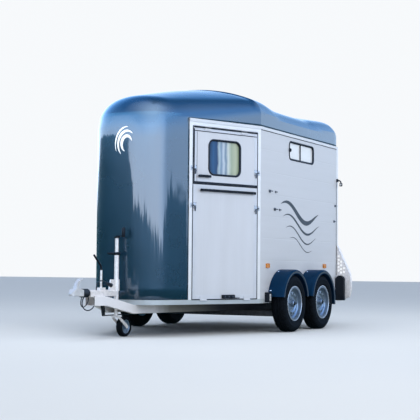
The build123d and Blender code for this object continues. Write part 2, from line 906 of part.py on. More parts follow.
def guard_ring(x, outer, inner, rear_z):
    """The arch between two radii, cut off at its skirts, drawn in the open sketch."""
    with Locations((x, guard_z)):
        Circle(outer)
        Circle(inner, mode=Mode.SUBTRACT)
    with Locations((x, guard_z)):
        Rectangle(2 * outer, guard_skirt_z - guard_z, align=(Align.MIN, Align.MIN), mode=Mode.SUBTRACT)
        Rectangle(3 * outer, 2 * outer, align=(Align.CENTER, Align.MAX), mode=Mode.SUBTRACT)
    if rear_z < guard_z:
        with Locations((x - outer, rear_z)):
            Rectangle(outer - inner, guard_z - rear_z, align=(Align.MIN, Align.MIN))
    else:
        with Locations((x, guard_z)):
            Rectangle(2 * outer, rear_z - guard_z, align=(Align.MAX, Align.MIN), mode=Mode.SUBTRACT)


with BuildPart() as guards_left:
    add(guard(front_axle_x, guard_skirt_z).part)
    add(guard(rear_axle_x, guard_rear_skirt_z).part)
keep(guards_left, "mudguards_left")
with BuildPart() as guards_right:
    mirror(guards_left.part, about=Plane.XZ)
keep(guards_right, "mudguards_right")

# Rear corner plates: transverse plates outside the rear posts, with a deep folded edge and round holes
corner_outline = (
    (half_width, 1026), (half_width + 12, 1024), (1116, 664), (1128, 560), (1128, 458),
    (1108, 368), (977, 321), (half_width, 321),
)
with BuildPart() as corner_plates:
    with BuildSketch(Plane.YZ.offset(-rear_depth)) as outer:
        with BuildLine():
            Polyline(*corner_outline, close=True)
        make_face()
    extrude(amount=rear_depth)
    with BuildSketch(Plane.YZ.offset(-rear_depth)):
        with BuildLine():
            Polyline(*corner_outline, close=True)
        make_face()
        offset(amount=-plate_thickness, mode=Mode.REPLACE)
    extrude(amount=rear_depth - plate_thickness, mode=Mode.SUBTRACT)
    with BuildSketch(Plane.YZ.offset(-rear_depth)):
        for y, z, count in ((962, 0, 5), (996, 0, 4), (1036, 0, 2)):
            top = 930 - (y - 943) * 2.08
            for row in range(count):
                with Locations((y, top - 46 * row)):
                    Circle(hole_radius)
        with Locations((lamp_y, lamp_z)):
            Rectangle(lamp_width - 20, lamp_height - 20)
    extrude(amount=2 * rear_depth, mode=Mode.SUBTRACT)
    mirror(about=Plane.XZ)
keep(corner_plates, "rear_corner_plates")

# Rear lamps: black boxes in front of the plates, lenses behind them
with BuildPart() as rear_lamps:
    with BuildSketch(Plane.YZ):
        with Locations((lamp_y, lamp_z)):
            Rectangle(lamp_width, lamp_height)
        chamfer(vertices().group_by(Axis.Y)[-1], 40)
    extrude(amount=lamp_depth)
    with BuildSketch(Plane.YZ.offset(-rear_depth)):
        with Locations((lamp_y, lamp_z)):
            Rectangle(lamp_width - 24, lamp_height - 24)
    extrude(amount=rear_depth)
    mirror(about=Plane.XZ)
keep(rear_lamps, "rear_lamps")

# Side markers and front position lamps
with BuildPart() as side_markers:
    with BuildSketch(Plane.XZ.offset(-half_width)):
        with Locations((2074, 754), (413, 761)):
            RectangleRounded(marker_length, marker_height, marker_corner)
    extrude(amount=-marker_depth)
    mirror(about=Plane.XZ)
keep(side_markers, "side_markers")
with BuildPart() as front_lamps:
    with BuildSketch(Plane.XZ.offset(-half_width)):
        with Locations((2110, 400)):
            Rectangle(50, 110)
    extrude(amount=-60)
    mirror(about=Plane.XZ)
keep(front_lamps, "front_position_lamps")

# Outline lamps: a rubber arm from the wall's rear corner, and the lamp at its end, facing both ways
with BuildPart() as outline_lamps:
    arm_top_z = outline_lamp_z + 46
    lamp_length = rear_depth
    with BuildSketch(Plane.YZ.offset(rear_face_x + 10)):
        with Locations((half_width, arm_top_z)):
            Rectangle(5, 40, align=(Align.MIN, Align.CENTER))
        with Locations((half_width + 12, arm_top_z), (half_width + outline_lamp_out, outline_lamp_z)):
            Circle(11)
        make_hull()
    extrude(amount=lamp_length - 20)
    with BuildSketch(Plane.YZ.offset(rear_face_x)):
        with Locations((half_width + outline_lamp_out, outline_lamp_z)):
            Circle(outline_lamp_radius)
    extrude(amount=lamp_length)
    mirror(about=Plane.XZ)
keep(outline_lamps, "outline_lamps")

# Overrun housing on the beams' tips
with BuildPart() as housing:
    with BuildSketch(Plane.XY.offset(drawbar_tip_z + beam_height)):
        with Locations(((crank_front_x + beam_tip_x) / 2, 0)):
            Rectangle(beam_tip_x - crank_front_x, 3 * housing_half_width)
    extrude(amount=8)
    with BuildSketch(Plane.YZ.offset(housing_rear_x)):
        with Locations((0, (drawbar_tip_z + beam_height + housing_top_z) / 2)):
            Rectangle(2 * housing_half_width, housing_top_z - drawbar_tip_z - beam_height)
        chamfer(vertices().group_by(Axis.Y)[-1], 14)
    extrude(amount=housing_front_x - housing_rear_x)
keep(housing, "overrun_housing")

# Bellows between the housing and the coupling head
with BuildPart() as bellows:
    count = 6
    pitch = (bellows_front_x - housing_front_x) / count
    with BuildSketch(Plane.XZ):
        with BuildLine():
            points = [(housing_front_x, shaft_z)]
            for fold in range(count):
                start = housing_front_x + fold * pitch
                points += [
                    (start, shaft_z + bellows_radius - 10), (start + pitch / 2, shaft_z + bellows_radius - 2),
                ]
            points += [(bellows_front_x, shaft_z + bellows_radius - 10), (bellows_front_x, shaft_z)]
            Polyline(*points, close=True)
        make_face()
    revolve(axis=Axis((0, 0, shaft_z), (1, 0, 0)))
keep(bellows, "bellows")

# Coupling head with its ball socket, and the lever over it
with BuildPart() as coupling:
    with BuildSketch(Plane.XZ.offset(-head_half_width)):
        with BuildLine():
            Polyline(
                (bellows_front_x, head_z - 8), (ball_x - 60, head_z - 8), (ball_x - 40, head_z),
                (head_front_x - 12, head_z), (head_front_x, head_z + 14), (ball_x + 56, head_z + 31),
                (ball_x + 30, head_top_z - 14), (ball_x, head_top_z), (ball_x - 70, head_top_z),
                (bellows_front_x, head_top_z - 12),
                close=True,
            )
        make_face()
    extrude(amount=2 * head_half_width)
    with BuildSketch(Plane.XY.offset(head_z - 8)):
        with Locations((head_front_x - head_half_width, 0)):
            Circle(head_half_width)
            Rectangle(400, 2 * head_half_width, align=(Align.MAX, Align.CENTER))
    extrude(amount=head_top_z - head_z + 8, mode=Mode.INTERSECT)
    with BuildSketch(Plane.XY.offset(head_z - 8)):
        with Locations((ball_x, 0)):
            Circle(ball_diameter / 2)
    extrude(amount=8 + ball_depth, mode=Mode.SUBTRACT)
keep(coupling, "coupling_head")
with BuildPart() as lever:
    with BuildSketch(Plane.XZ.offset(-lever_half_width)):
        with BuildLine():
            front_edge = Spline(
                (ball_x - 10, head_top_z), (ball_x - 28, head_top_z + 40), (ball_x - 60, head_top_z + 78),
                (ball_x - 118, head_top_z + 98),
            )
            Polyline((ball_x - 118, head_top_z + 98), (ball_x - 120, head_top_z + 84))
            rear_edge = Spline(
                (ball_x - 120, head_top_z + 84), (ball_x - 78, head_top_z + 66), (ball_x - 62, head_top_z + 36),
                (ball_x - 66, head_top_z),
            )
            Polyline((ball_x - 66, head_top_z), (ball_x - 10, head_top_z))
        make_face()
    extrude(amount=2 * lever_half_width)
keep(lever, "coupling_lever")

# Handbrake lever: a steel tube on its bracket
with BuildPart() as handbrake:
    with BuildSketch(Plane.XY.offset(housing_top_z)):
        with Locations((brake_x, 0)):
            Circle(brake_radius)
    extrude(amount=brake_tube_length)
    with BuildSketch(Plane.XY.offset(housing_top_z)):
        with Locations((brake_x, 0)):
            Rectangle(90, 50)
    extrude(amount=24)
keep(handbrake, "handbrake_lever")

# Brake linkage: a lever under the housing and the rod back to the front axle
rod_z = axle_z + 17
with BuildPart() as linkage:
    with BuildSketch(Plane.YZ.offset(front_axle_x + axle_lead + axle_tube / 2)):
        with Locations((linkage_y, rod_z)):
            Circle(linkage_radius)
    extrude(amount=linkage_front_x - front_axle_x - axle_lead - axle_tube / 2)
    with BuildSketch(Plane.XZ.offset(-linkage_y - 9)):
        with BuildLine():
            Polyline(
                (linkage_front_x - 20, rod_z - linkage_radius), (linkage_front_x + 12, rod_z - linkage_radius),
                (linkage_front_x + 40, drawbar_tip_z), (linkage_front_x + 40, drawbar_tip_z + beam_height),
                (linkage_front_x, drawbar_tip_z + beam_height), (linkage_front_x - 4, drawbar_tip_z),
                (linkage_front_x - 20, drawbar_tip_z - 36),
                close=True,
            )
        make_face()
    extrude(amount=18)
keep(linkage, "brake_linkage")

# Jockey wheel: clamp, outer tube with crank, then the swivelling rod with its fork, and the wheel
with BuildPart() as jockey_clamp:
    with BuildSketch(Plane.XY.offset(clamp_z)):
        with Locations((jockey_x, 0)):
            Circle(jockey_tube_radius + 9)
    extrude(amount=clamp_height)
    with BuildSketch(Plane.XZ.offset(-clamp_plate / 2)):
        with BuildLine():
            Polyline(
                (jockey_x, clamp_z), (housing_rear_x, clamp_z), (housing_rear_x, housing_top_z),
                (housing_rear_x + 80, housing_top_z), (housing_rear_x + 50, clamp_z + clamp_height),
                (jockey_x, clamp_z + clamp_height),
                close=True,
            )
        make_face()
    extrude(amount=clamp_plate)
    with BuildSketch(Plane.XY.offset(clamp_z)):
        with Locations((jockey_x, 0)):
            Circle(jockey_tube_radius)
    extrude(amount=clamp_height, mode=Mode.SUBTRACT)
keep(jockey_clamp, "jockey_clamp")
with BuildPart() as jockey_tube:
    with BuildSketch(Plane.XY.offset(jockey_low_z)):
        with Locations((jockey_x, 0)):
            Circle(jockey_tube_radius)
    extrude(amount=jockey_collar_z - jockey_low_z)
    with BuildSketch(Plane.XY.offset(jockey_collar_z)):
        with Locations((jockey_x, 0)):
            Circle(upper_tube_radius)
    extrude(amount=jockey_top_z - jockey_collar_z)
    with BuildSketch(Plane.XY.offset(jockey_low_z)):
        with Locations((jockey_x, 0)):
            Circle(jockey_rod_radius + 0.5)
    extrude(amount=rod_engagement, mode=Mode.SUBTRACT)
keep(jockey_tube, "jockey_tube")

# Black grips of the drawbar: the handbrake's bent grip, the clamp's lever, and the collar on the step of the
# jockey tube with its handle
brake_grip_z = housing_top_z + brake_tube_length
with BuildPart() as drawbar_grips:
    with BuildLine() as grip_path:
        FilletPolyline(
            (brake_x, 0, brake_grip_z), (brake_x, 0, brake_grip_z + 35),
            (brake_x + brake_grip_reach, 0, brake_grip_z + brake_grip_rise),
            radius=30,
        )
    with BuildSketch(Plane.XY.offset(brake_grip_z)):
        with Locations((brake_x, 0)):
            Circle(brake_radius - 1)
    sweep(path=grip_path.line)
    with BuildSketch(Plane.XZ.offset(clamp_plate / 2)):
        with Locations((housing_rear_x + 40, housing_top_z + 50)):
            Circle(clamp_plate / 2)
    extrude(amount=clamp_lever_length)
    with BuildSketch(Plane.XY.offset(jockey_collar_z)):
        with Locations((jockey_x, 0)):
            Circle(jockey_tube_radius + 8)
    extrude(amount=jockey_collar_height)
    with BuildSketch(Plane.XY.offset(jockey_collar_z + jockey_collar_height / 2)):
        with Locations((jockey_x, -collar_handle_length / 2)):
            SlotOverall(collar_handle_length, 16, rotation=90)
    extrude(amount=10)
    with BuildSketch(Plane.XY.offset(jockey_collar_z)):
        with Locations((jockey_x, 0)):
            Circle(upper_tube_radius)
    extrude(amount=jockey_collar_height, mode=Mode.SUBTRACT)
keep(drawbar_grips, "drawbar_grips")

# Crank: a cap on the tube, its arm and the upright handle
with BuildPart() as jockey_crank:
    with BuildSketch(Plane.XY.offset(jockey_top_z)):
        with Locations((jockey_x, 0)):
            Circle(jockey_tube_radius + 7)
    extrude(amount=16)
    with BuildSketch(Plane.XY.offset(jockey_top_z + 16)):
        with Locations((jockey_x, crank_reach / 2)):
            SlotCenterToCenter(crank_reach, 24, rotation=90)
    extrude(amount=10)
    with BuildSketch(Plane.XY.offset(jockey_top_z + 26)):
        with Locations((jockey_x, crank_reach)):
            Circle(12)
    extrude(amount=84)
keep(jockey_crank, "jockey_crank")
crown_z = 2 * jockey_wheel_radius + 6
with BuildPart() as fork:
    with BuildSketch(Plane.XY.offset(crown_z)):
        with Locations((jockey_x, 0)):
            Circle(jockey_rod_radius)
    extrude(amount=jockey_low_z + rod_engagement - 10 - crown_z)
    for side in (1, -1):
        with BuildSketch(Plane.XZ.offset(side * (jockey_wheel_width / 2 + 6) - fork_plate / 2)):
            with Locations((jockey_x - 5, crown_z - 16)):
                Circle(14)
            with Locations((jockey_wheel_x, jockey_wheel_radius)):
                Circle(18)
            make_hull()
        extrude(amount=fork_plate)
    with BuildSketch(Plane.XY.offset(crown_z - 14)):
        with Locations((jockey_x, 0)):
            Rectangle(50, jockey_wheel_width + 12 + fork_plate)
    extrude(amount=14)
    with BuildSketch(Plane.XZ.offset(-jockey_wheel_width / 2 - 6)):
        with Locations((jockey_wheel_x, jockey_wheel_radius)):
            Circle(8)
    extrude(amount=jockey_wheel_width + 12)
keep(fork, "jockey_fork")
with BuildPart() as jockey_wheel:
    with BuildSketch(Plane.XZ.offset(-jockey_wheel_width / 2)):
        with Locations((jockey_wheel_x, jockey_wheel_radius)):
            Circle(jockey_wheel_radius)
            Circle(8.5, mode=Mode.SUBTRACT)
    extrude(amount=jockey_wheel_width)
    fillet(edges().filter_by(GeomType.CIRCLE).sort_by(SortBy.RADIUS)[-2:], 16)
keep(jockey_wheel, "jockey_wheel")

# Partition between the two stalls, with its posts and the breast and rump bars
inner_half = half_width - wall_thickness
with BuildPart() as partition:
    with BuildSketch(Plane.XZ.offset(-partition_thickness / 2)):
        with Locations(((partition_rear_x + partition_front_x) / 2, 1250)):
            RectangleRounded(partition_front_x - partition_rear_x, 900, 120)
    extrude(amount=partition_thickness)
    with BuildSketch(Plane.XY.offset(base_z + floor_thickness)):
        with Locations((partition_rear_x, 0), (partition_front_x, 0)):
            RectangleRounded(50, 50, 8)
    extrude(amount=1500)
keep(partition, "partition")
with BuildPart() as bars:
    with BuildSketch(Plane.XZ.offset(-inner_half)):
        with Locations((partition_front_x, 1230), (partition_rear_x, 1080)):
            Circle(21)
    extrude(amount=inner_half - 25)
    mirror(about=Plane.XZ)
keep(bars, "stall_bars")
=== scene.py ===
import json
import math

import bmesh
import bpy
from mathutils import Matrix, Vector
from mathutils.bvhtree import BVHTree


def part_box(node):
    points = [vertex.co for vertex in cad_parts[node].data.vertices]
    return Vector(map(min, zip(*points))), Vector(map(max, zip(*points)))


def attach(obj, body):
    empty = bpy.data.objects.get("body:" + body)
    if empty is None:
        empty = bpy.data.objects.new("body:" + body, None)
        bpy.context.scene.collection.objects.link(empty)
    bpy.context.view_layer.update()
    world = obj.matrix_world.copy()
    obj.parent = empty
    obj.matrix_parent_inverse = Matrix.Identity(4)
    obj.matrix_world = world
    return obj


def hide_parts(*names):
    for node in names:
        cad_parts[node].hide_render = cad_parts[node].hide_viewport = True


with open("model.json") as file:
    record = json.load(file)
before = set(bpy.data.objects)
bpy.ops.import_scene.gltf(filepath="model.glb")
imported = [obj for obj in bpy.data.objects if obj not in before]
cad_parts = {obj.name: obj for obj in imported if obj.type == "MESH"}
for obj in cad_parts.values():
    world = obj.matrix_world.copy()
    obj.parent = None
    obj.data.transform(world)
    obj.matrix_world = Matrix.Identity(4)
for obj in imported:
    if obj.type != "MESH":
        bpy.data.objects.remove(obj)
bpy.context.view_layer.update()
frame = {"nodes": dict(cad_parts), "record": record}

# Trailer coordinates: metres, x forward from the rear end of the side walls, y left, z up.
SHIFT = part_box("base_frame")[0].x
HALF_WIDTH = 0.931
BEND_X = 2.258
TAPER = math.radians(22.09)
NOSE_X = 3.646
REAR_X = -0.050
EAVES_Z = 2.311
WALL_Z = 0.385
DOOR_FRAME = 1.017
WALL_THICKNESS = 0.030
SIDES = (("left", 1), ("right", -1))


def add_object(name, data):
    """A new object in the scene."""
    made = bpy.data.objects.new(name, data)
    bpy.context.scene.collection.objects.link(made)
    return made


# Mesh making

class Shape:
    """Vertices and faces of one piece, with a material number for each face."""

    def __init__(self):
        self.verts, self.faces, self.mats = [], [], []

    def add(self, verts, faces, mat=0):
        start = len(self.verts)
        self.verts += [Vector(v) for v in verts]
        self.faces += [tuple(start + i for i in f) for f in faces]
        self.mats += [mat] * len(faces)

    def grid(self, rows, mat=0, closed=False, capped=False):
        """Quads between rows of points; closed joins each row's ends, capped fills the first and the last row."""
        count = len(rows[0])
        faces = []
        for r in range(len(rows) - 1):
            for i in range(count if closed else count - 1):
                j = (i + 1) % count
                faces.append((r * count + i, r * count + j, (r + 1) * count + j, (r + 1) * count + i))
        if capped:
            faces.append(tuple(range(count))[::-1])
            faces.append(tuple((len(rows) - 1) * count + i for i in range(count)))
        self.add([v for row in rows for v in row], faces, mat)

    def prism(self, outline, place, low, high, bevel=0.0, mat=0):
        """An outline of (a, b) points, carried by place(a, b, depth) from low to high, its far edge chamfered."""
        inner = shrink(outline, bevel) if bevel else outline
        rows = [[place(a, b, low) for a, b in outline]]
        if bevel:
            rows.append([place(a, b, high - bevel) for a, b in outline])
        rows.append([place(a, b, high) for a, b in inner])
        self.grid(rows, mat, closed=True, capped=True)

    def lathe(self, profile, centre, axis, segments=32, mat=0):
        """A profile of (radius, along) points turned about an axis."""
        centre, axis = Vector(centre), Vector(axis).normalized()
        side = axis.orthogonal().normalized()
        up = axis.cross(side)
        angles = [2 * math.pi * i / segments for i in range(segments)]
        self.grid([
            [centre + axis * along + (side * math.cos(a) + up * math.sin(a)) * radius for a in angles]
            for radius, along in profile
        ], mat, closed=True)

    def rod(self, start, end, radius, segments):
        """A round bar between two points with chamfered ends."""
        start, end = Vector(start), Vector(end)
        run = (end - start).length
        edge = min(radius * 0.25, run * 0.3)
        profile = [(0, 0), (radius - edge, 0), (radius, edge), (radius, run - edge), (radius - edge, run), (0, run)]
        self.lathe(profile, start, end - start, segments)

    def tube(self, points, radius, segments):
        """A round section carried along points, turned as little as can be."""
        points = [Vector(p) for p in points]
        angles = [2 * math.pi * i / segments for i in range(segments)]
        section = [(radius * math.cos(a), radius * math.sin(a)) for a in angles]
        tangents = [
            (after - before).normalized()
            for before, after in zip(points[:1] + points, points[1:] + points[-1:])
        ]
        across = tangents[0].orthogonal()
        rows = []
        for point, tangent in zip(points, tangents):
            across = (across - tangent * across.dot(tangent)).normalized()
            up = tangent.cross(across)
            rows.append([point + across * a + up * b for a, b in section])
        self.grid(rows, closed=True, capped=True)

    def piece(self, name, materials, body, slot, *replaced, sharp=32):
        """The finished object on its body, in place of CAD nodes, with edges over the sharp angle kept crisp."""
        mesh = bpy.data.meshes.new(name)
        mesh.from_pydata([(v.x + SHIFT, v.y, v.z) for v in self.verts], [], self.faces)
        for material in materials:
            mesh.materials.append(MATERIALS[material])
        mesh.polygons.foreach_set("material_index", self.mats)
        made = bmesh.new()
        made.from_mesh(mesh)
        bmesh.ops.remove_doubles(made, verts=made.verts, dist=1e-6)
        bmesh.ops.dissolve_degenerate(made, edges=made.edges, dist=1e-7)
        bmesh.ops.recalc_face_normals(made, faces=made.faces)
        limit = math.radians(sharp)
        for edge in made.edges:
            edge.smooth = len(edge.link_faces) != 2 or edge.calc_face_angle(0) < limit
        for face in made.faces:
            face.smooth = True
        made.to_mesh(mesh)
        made.free()
        obj = add_object(name, mesh)
        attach(obj, body)
        if replaced:
            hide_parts(*replaced)
        return obj


def shrink(outline, amount):
    """A convex outline moved inward by amount."""
    after = outline[1:] + outline[:1]
    area = sum(a[0] * b[1] - b[0] * a[1] for a, b in zip(outline, after))
    turn = 1 if area > 0 else -1
    moved = []
    for before, here, beyond in zip(outline[-1:] + outline[:-1], outline, after):
        here = Vector(here)
        first, second = (here - Vector(before)).normalized(), (Vector(beyond) - here).normalized()
        inward = Vector((-first.y - second.y, first.x + second.x)) * turn
        scale = amount / max(0.3, 1 + first.dot(second))
        moved.append(tuple(here + inward * scale))
    return moved


def strip(shape, place, low, high, inner, outer, bevel=0.0015, mat=0):
    """A flat bar on a wall from corner low to corner high, between two distances out."""
    shape.prism([low, (high[0], low[1]), high, (low[0], high[1])], place, inner, outer, bevel, mat)


def strips(shape, place, *rows):
    """Several flat bars on a wall, each with strip()'s values from its low corner on."""
    for row in rows:
        strip(shape, place, *row)


def rounded(x, z, width, height, radius, steps=6):
    """Points of a rounded rectangle about (x, z)."""
    points = []
    for quarter, (sx, sz) in enumerate(((1, -1), (1, 1), (-1, 1), (-1, -1))):
        cx, cz = x + sx * (width / 2 - radius), z + sz * (height / 2 - radius)
        for i in range(steps + 1):
            angle = math.pi / 2 * (quarter - 1 + i / steps)
            points.append((cx + radius * math.cos(angle), cz + radius * math.sin(angle)))
    return points


def on_arc(x, z, radius, angle, y):
    """A point on an upright circle about (x, z)."""
    return Vector((x + radius * math.cos(angle), y, z + radius * math.sin(angle)))


def both_sides(half):
    """A profile of (radius, distance from the middle, ...) points and its mirror image after it."""
    return [*half, *((radius, -off, *rest) for radius, off, *rest in reversed(half))]


def left(x, z, out=0.0):
    """A point on the left rear wall, out from its face."""
    return Vector((x, HALF_WIDTH + out, z))


def door(s, z, out=0.0):
    """A point on the left tapered wall, s along it from the bend."""
    c, n = math.cos(TAPER), math.sin(TAPER)
    return Vector((BEND_X + s * c + out * n, HALF_WIDTH - s * n + out * c, z))


def rear(y, z, out=0.0):
    """A point on the rear face, out to the rear."""
    return Vector((REAR_X - out, y, z))


def mirrored(place):
    """The place function of the same wall on the right."""
    def there(a, b, out=0.0):
        x, y, z = place(a, b, out)
        return Vector((x, -y, z))

    return there


right, far_door = mirrored(left), mirrored(door)


def outward(place, a, b):
    """The direction out of a wall at (a, b)."""
    return (place(a, b, 1) - place(a, b, 0)).normalized()


# Materials

MATERIALS = {}


def add_node(tree, kind, inputs, **settings):
    """A shader node with its settings; inputs gives a socket by name or number its value or the output it takes."""
    node = tree.nodes.new("ShaderNode" + kind)
    for name, value in settings.items():
        setattr(node, name, value)
    for socket, value in inputs.items():
        if isinstance(value, bpy.types.NodeSocket):
            tree.links.new(value, node.inputs[socket])
        else:
            node.inputs[socket].default_value = value
    return node


def calc(tree, operation, *values):
    """A math node over outputs and numbers."""
    return add_node(tree, "Math", dict(enumerate(values)), operation=operation).outputs[0]


def ramp(tree, factor, stops):
    """A colour ramp from (position, colour or grey) stops."""
    node = add_node(tree, "ValToRGB", {0: factor})
    while len(node.color_ramp.elements) < len(stops):
        node.color_ramp.elements.new(0.5)
    for element, (position, colour) in zip(node.color_ramp.elements, stops):
        element.position = position
        element.color = (*(colour if isinstance(colour, tuple) else (colour,) * 3), 1)
    return node.outputs[0]


def noise(tree, scale, detail=4.0, stretch=(1, 1, 1)):
    """Noise in object coordinates."""
    where = add_node(tree, "TexCoord", {}).outputs["Object"]
    place = add_node(tree, "Mapping", {"Vector": where, "Scale": stretch}).outputs["Vector"]
    return add_node(tree, "TexNoise", {"Vector": place, "Scale": scale, "Detail": detail}).outputs["Fac"]


def along(tree, direction, coordinates="Object"):
    """How far each point lies along a direction."""
    where = add_node(tree, "TexCoord", {}).outputs[coordinates]
    return add_node(tree, "VectorMath", {0: where, 1: direction}, operation="DOT_PRODUCT").outputs["Value"]


def shade(colour, change):
    """A colour made lighter or darker by a share."""
    return tuple(min(1.0, c * (1 + change)) for c in colour)


def finish(name, colour, roughness, metallic, vary, scale, bump=0.0, bump_scale=60.0, stretch=(1, 1, 1),
           rough_vary=0.06, bump_stretch=None, **sockets):
    """A principled material with noise in its colour, roughness and surface."""
    material = MATERIALS[name] = bpy.data.materials.new(name)
    material.use_nodes = True
    tree = material.node_tree
    shader = tree.nodes["Principled BSDF"]
    shader.inputs["Metallic"].default_value = metallic
    cloud = noise(tree, scale, stretch=stretch)
    tones = ramp(tree, cloud, [(0.3, shade(colour, -vary)), (0.7, shade(colour, vary))])
    tree.links.new(tones, shader.inputs["Base Color"])
    low, high = max(0.02, roughness - rough_vary), min(1.0, roughness + rough_vary)
    tree.links.new(ramp(tree, cloud, [(0.3, low), (0.7, high)]), shader.inputs["Roughness"])
    if bump:
        add_bump(tree, noise(tree, bump_scale, stretch=bump_stretch or stretch), bump)
    for socket, value in sockets.items():
        shader.inputs[socket.replace("_", " ")].default_value = value
    return material


def add_bump(tree, height, distance):
    """A bump from a height, after any bump that the shader already has."""
    normal = tree.nodes["Principled BSDF"].inputs["Normal"]
    inputs = {"Height": height, "Strength": 1.0, "Distance": distance}
    if normal.links:
        inputs["Normal"] = normal.links[0].from_socket
    tree.links.new(add_node(tree, "Bump", inputs).outputs["Normal"], normal)


def grooves(name, direction, pitch, width, depth, offset=0.0):
    """Plank joints across a material: narrow grooves at each pitch along a direction."""
    tree = MATERIALS[name].node_tree
    cell = calc(tree, "FRACT", calc(tree, "DIVIDE", calc(tree, "ADD", along(tree, direction), offset), pitch))
    edge = calc(tree, "ABSOLUTE", calc(tree, "SUBTRACT", cell, 0.5))
    height = calc(tree, "SMOOTH_MIN", calc(tree, "MULTIPLY", edge, pitch / width), 1.0, 0.2)
    add_bump(tree, height, depth)


def streaked(name, direction, start, run, sway, stops):
    """Colour in soft streaks along a direction, from start over run, swayed by noise."""
    tree = MATERIALS[name].node_tree
    place = calc(tree, "DIVIDE", calc(tree, "SUBTRACT", along(tree, direction), start), run)
    drift = calc(tree, "MULTIPLY", calc(tree, "SUBTRACT", noise(tree, 9.0, 3.0, (1, 1, 0.5)), 0.5), sway)
    colour = ramp(tree, calc(tree, "ADD", place, drift), stops)
    tree.links.new(colour, tree.nodes["Principled BSDF"].inputs["Base Color"])


WALL = (0.550, 0.568, 0.612)
ZINC = (0.80, 0.75, 0.72)
FINE = {"bump_stretch": (0.05, 0.05, 1)}
UPRIGHT = {"stretch": (3, 3, 0.4), "bump_stretch": (1, 1, 0.05)}
GLASS = {"rough_vary": 0.02, "IOR": 1.45}
LENS = {"Coat_Weight": 0.5}

# name, colour, roughness, metallic, share and scale of the colour's variation, height and scale of the bump, the rest
finish("polyester", (0.009, 0.042, 0.078), 0.28, 0.30, 0.06, 2.5, 0.0015, 2.2,
       rough_vary=0.03, Coat_Weight=1.0, Coat_Roughness=0.02, Coat_IOR=1.7)
finish("inner_polyester", (0.55, 0.56, 0.56), 0.5, 0, 0.05, 6.0, 0.001, 90)
finish("wall_panel", WALL, 0.40, 0.10, 0.025, 3.0, 0.0002, 220,
       stretch=(0.3, 0.3, 6), rough_vary=0.05, Specular_IOR_Level=0.30, **FINE)
finish("door_panel", shade(WALL, 0.05), 0.45, 0.10, 0.025, 3.0, 0.0002, 220, rough_vary=0.05, **UPRIGHT)
finish("ramp_panel", shade(WALL, -0.03), 0.42, 0.2, 0.025, 3.0, 0.0002, 220, **UPRIGHT)
finish("leaf_edge", shade(WALL, 0.05), 0.40, 0.2, 0.03, 8, 0.0002, 300)
finish("rail_metal", (0.63, 0.65, 0.69), 0.40, 0.15, 0.03, 8)
finish("profile_metal", (0.75, 0.76, 0.78), 0.38, 0.2, 0.03, 8, 0.0002, 300, **FINE)
finish("sill_metal", (0.42, 0.46, 0.48), 0.40, 0.2, 0.05, 8, 0.0002, 300, **FINE)
finish("galvanised", ZINC, 0.50, 0.35, 0.12, 38, 0.0004, 130, rough_vary=0.10)
finish("beam_metal", ZINC, 0.50, 0.35, 0.12, 38, 0.0004, 130, rough_vary=0.10)
finish("cast_metal", (0.56, 0.56, 0.57), 0.46, 0.25, 0.08, 30, 0.0006, 220, rough_vary=0.08)
# The brake linkage is near black as painted shade under the housing
finish("linkage_shade", (0.008, 0.009, 0.011), 0.45, 0, 0.3, 25, 0.0004, 200)
# The cross members and axles are near black: painted shade under the body, with some road dirt
finish("underbody_shade_and_dirt", (0.075, 0.075, 0.080), 0.65, 0.2, 0.25, 25, 0.0005, 160, rough_vary=0.1)
finish("bright_metal", (0.50, 0.53, 0.58), 0.34, 0.5, 0.08, 50, 0.0002, 260)
finish("chrome", (0.60, 0.62, 0.66), 0.16, 1.0, 0.05, 30)
finish("latch_metal", (0.07, 0.075, 0.09), 0.32, 0.8, 0.15, 60, 0.0002, 300)
finish("rubber", (0.008, 0.010, 0.015), 0.55, 0, 0.2, 30, 0.0004, 400, Specular_IOR_Level=0.30)
finish("tyre_rubber", (0.0035, 0.0045, 0.006), 0.75, 0, 0.25, 22, 0.0007, 260, Specular_IOR_Level=0.08)
finish("black_plastic", (0.006, 0.008, 0.012), 0.42, 0, 0.15, 25, 0.0004, 320, Specular_IOR_Level=0.15)
finish("guard_plastic", (0.003, 0.024, 0.064), 0.32, 0, 0.12, 9, 0.0003, 240, Specular_IOR_Level=0.03)
# A lighter grey on the mudguards' rolled lips is a painted sheen: the guards are one colour
finish("guard_lip_sheen", (0.040, 0.052, 0.066), 0.40, 0, 0.10, 9, 0.0003, 240)
finish("wheel_steel", (0.20, 0.25, 0.31), 0.34, 0.6, 0.10, 18, 0.0003, 180)
finish("orange_lens", (0.75, 0.26, 0.02), 0.18, 0, 0.12, 60, 0.0008, 280, Transmission_Weight=0.25, **LENS)
finish("red_lens", (0.45, 0.012, 0.012), 0.18, 0, 0.12, 60, 0.0008, 280, Transmission_Weight=0.2, **LENS)
finish("clear_lens", (0.75, 0.77, 0.80), 0.15, 0, 0.06, 60, 0.0008, 280, Transmission_Weight=0.4, **LENS)
finish("floor_mat", (0.045, 0.045, 0.048), 0.8, 0, 0.25, 14, 0.002, 110)
finish("padding", (0.035, 0.038, 0.045), 0.6, 0, 0.12, 20, 0.0008, 320)
# The side panes' near white colour is a painted reflection of the pale sky
finish("window_glass", (0.88, 0.91, 0.95), 0.10, 0, 0.02, 4, Coat_Weight=0.5, Alpha=0.72, **GLASS)
finish("door_glass", (0.45, 0.58, 0.72), 0.04, 0, 0.02, 4, Specular_IOR_Level=0.25, Alpha=0.93, **GLASS)
finish("drawn_black", (0.020, 0.024, 0.032), 0.4, 0, 0.1, 20)
finish("drawn_white", (0.80, 0.83, 0.86), 0.35, 0, 0.03, 20)

# along the wall, height of the middle, width, height, corner radius
SIDE_WINDOW = (1.126, 2.118, 0.744, 0.230, 0.060)
DOOR_WINDOW = (0.526, 1.913, 0.468, 0.398, 0.080)
REAR_WINDOW = (0.0, 1.850, 0.900, 0.320, 0.070)

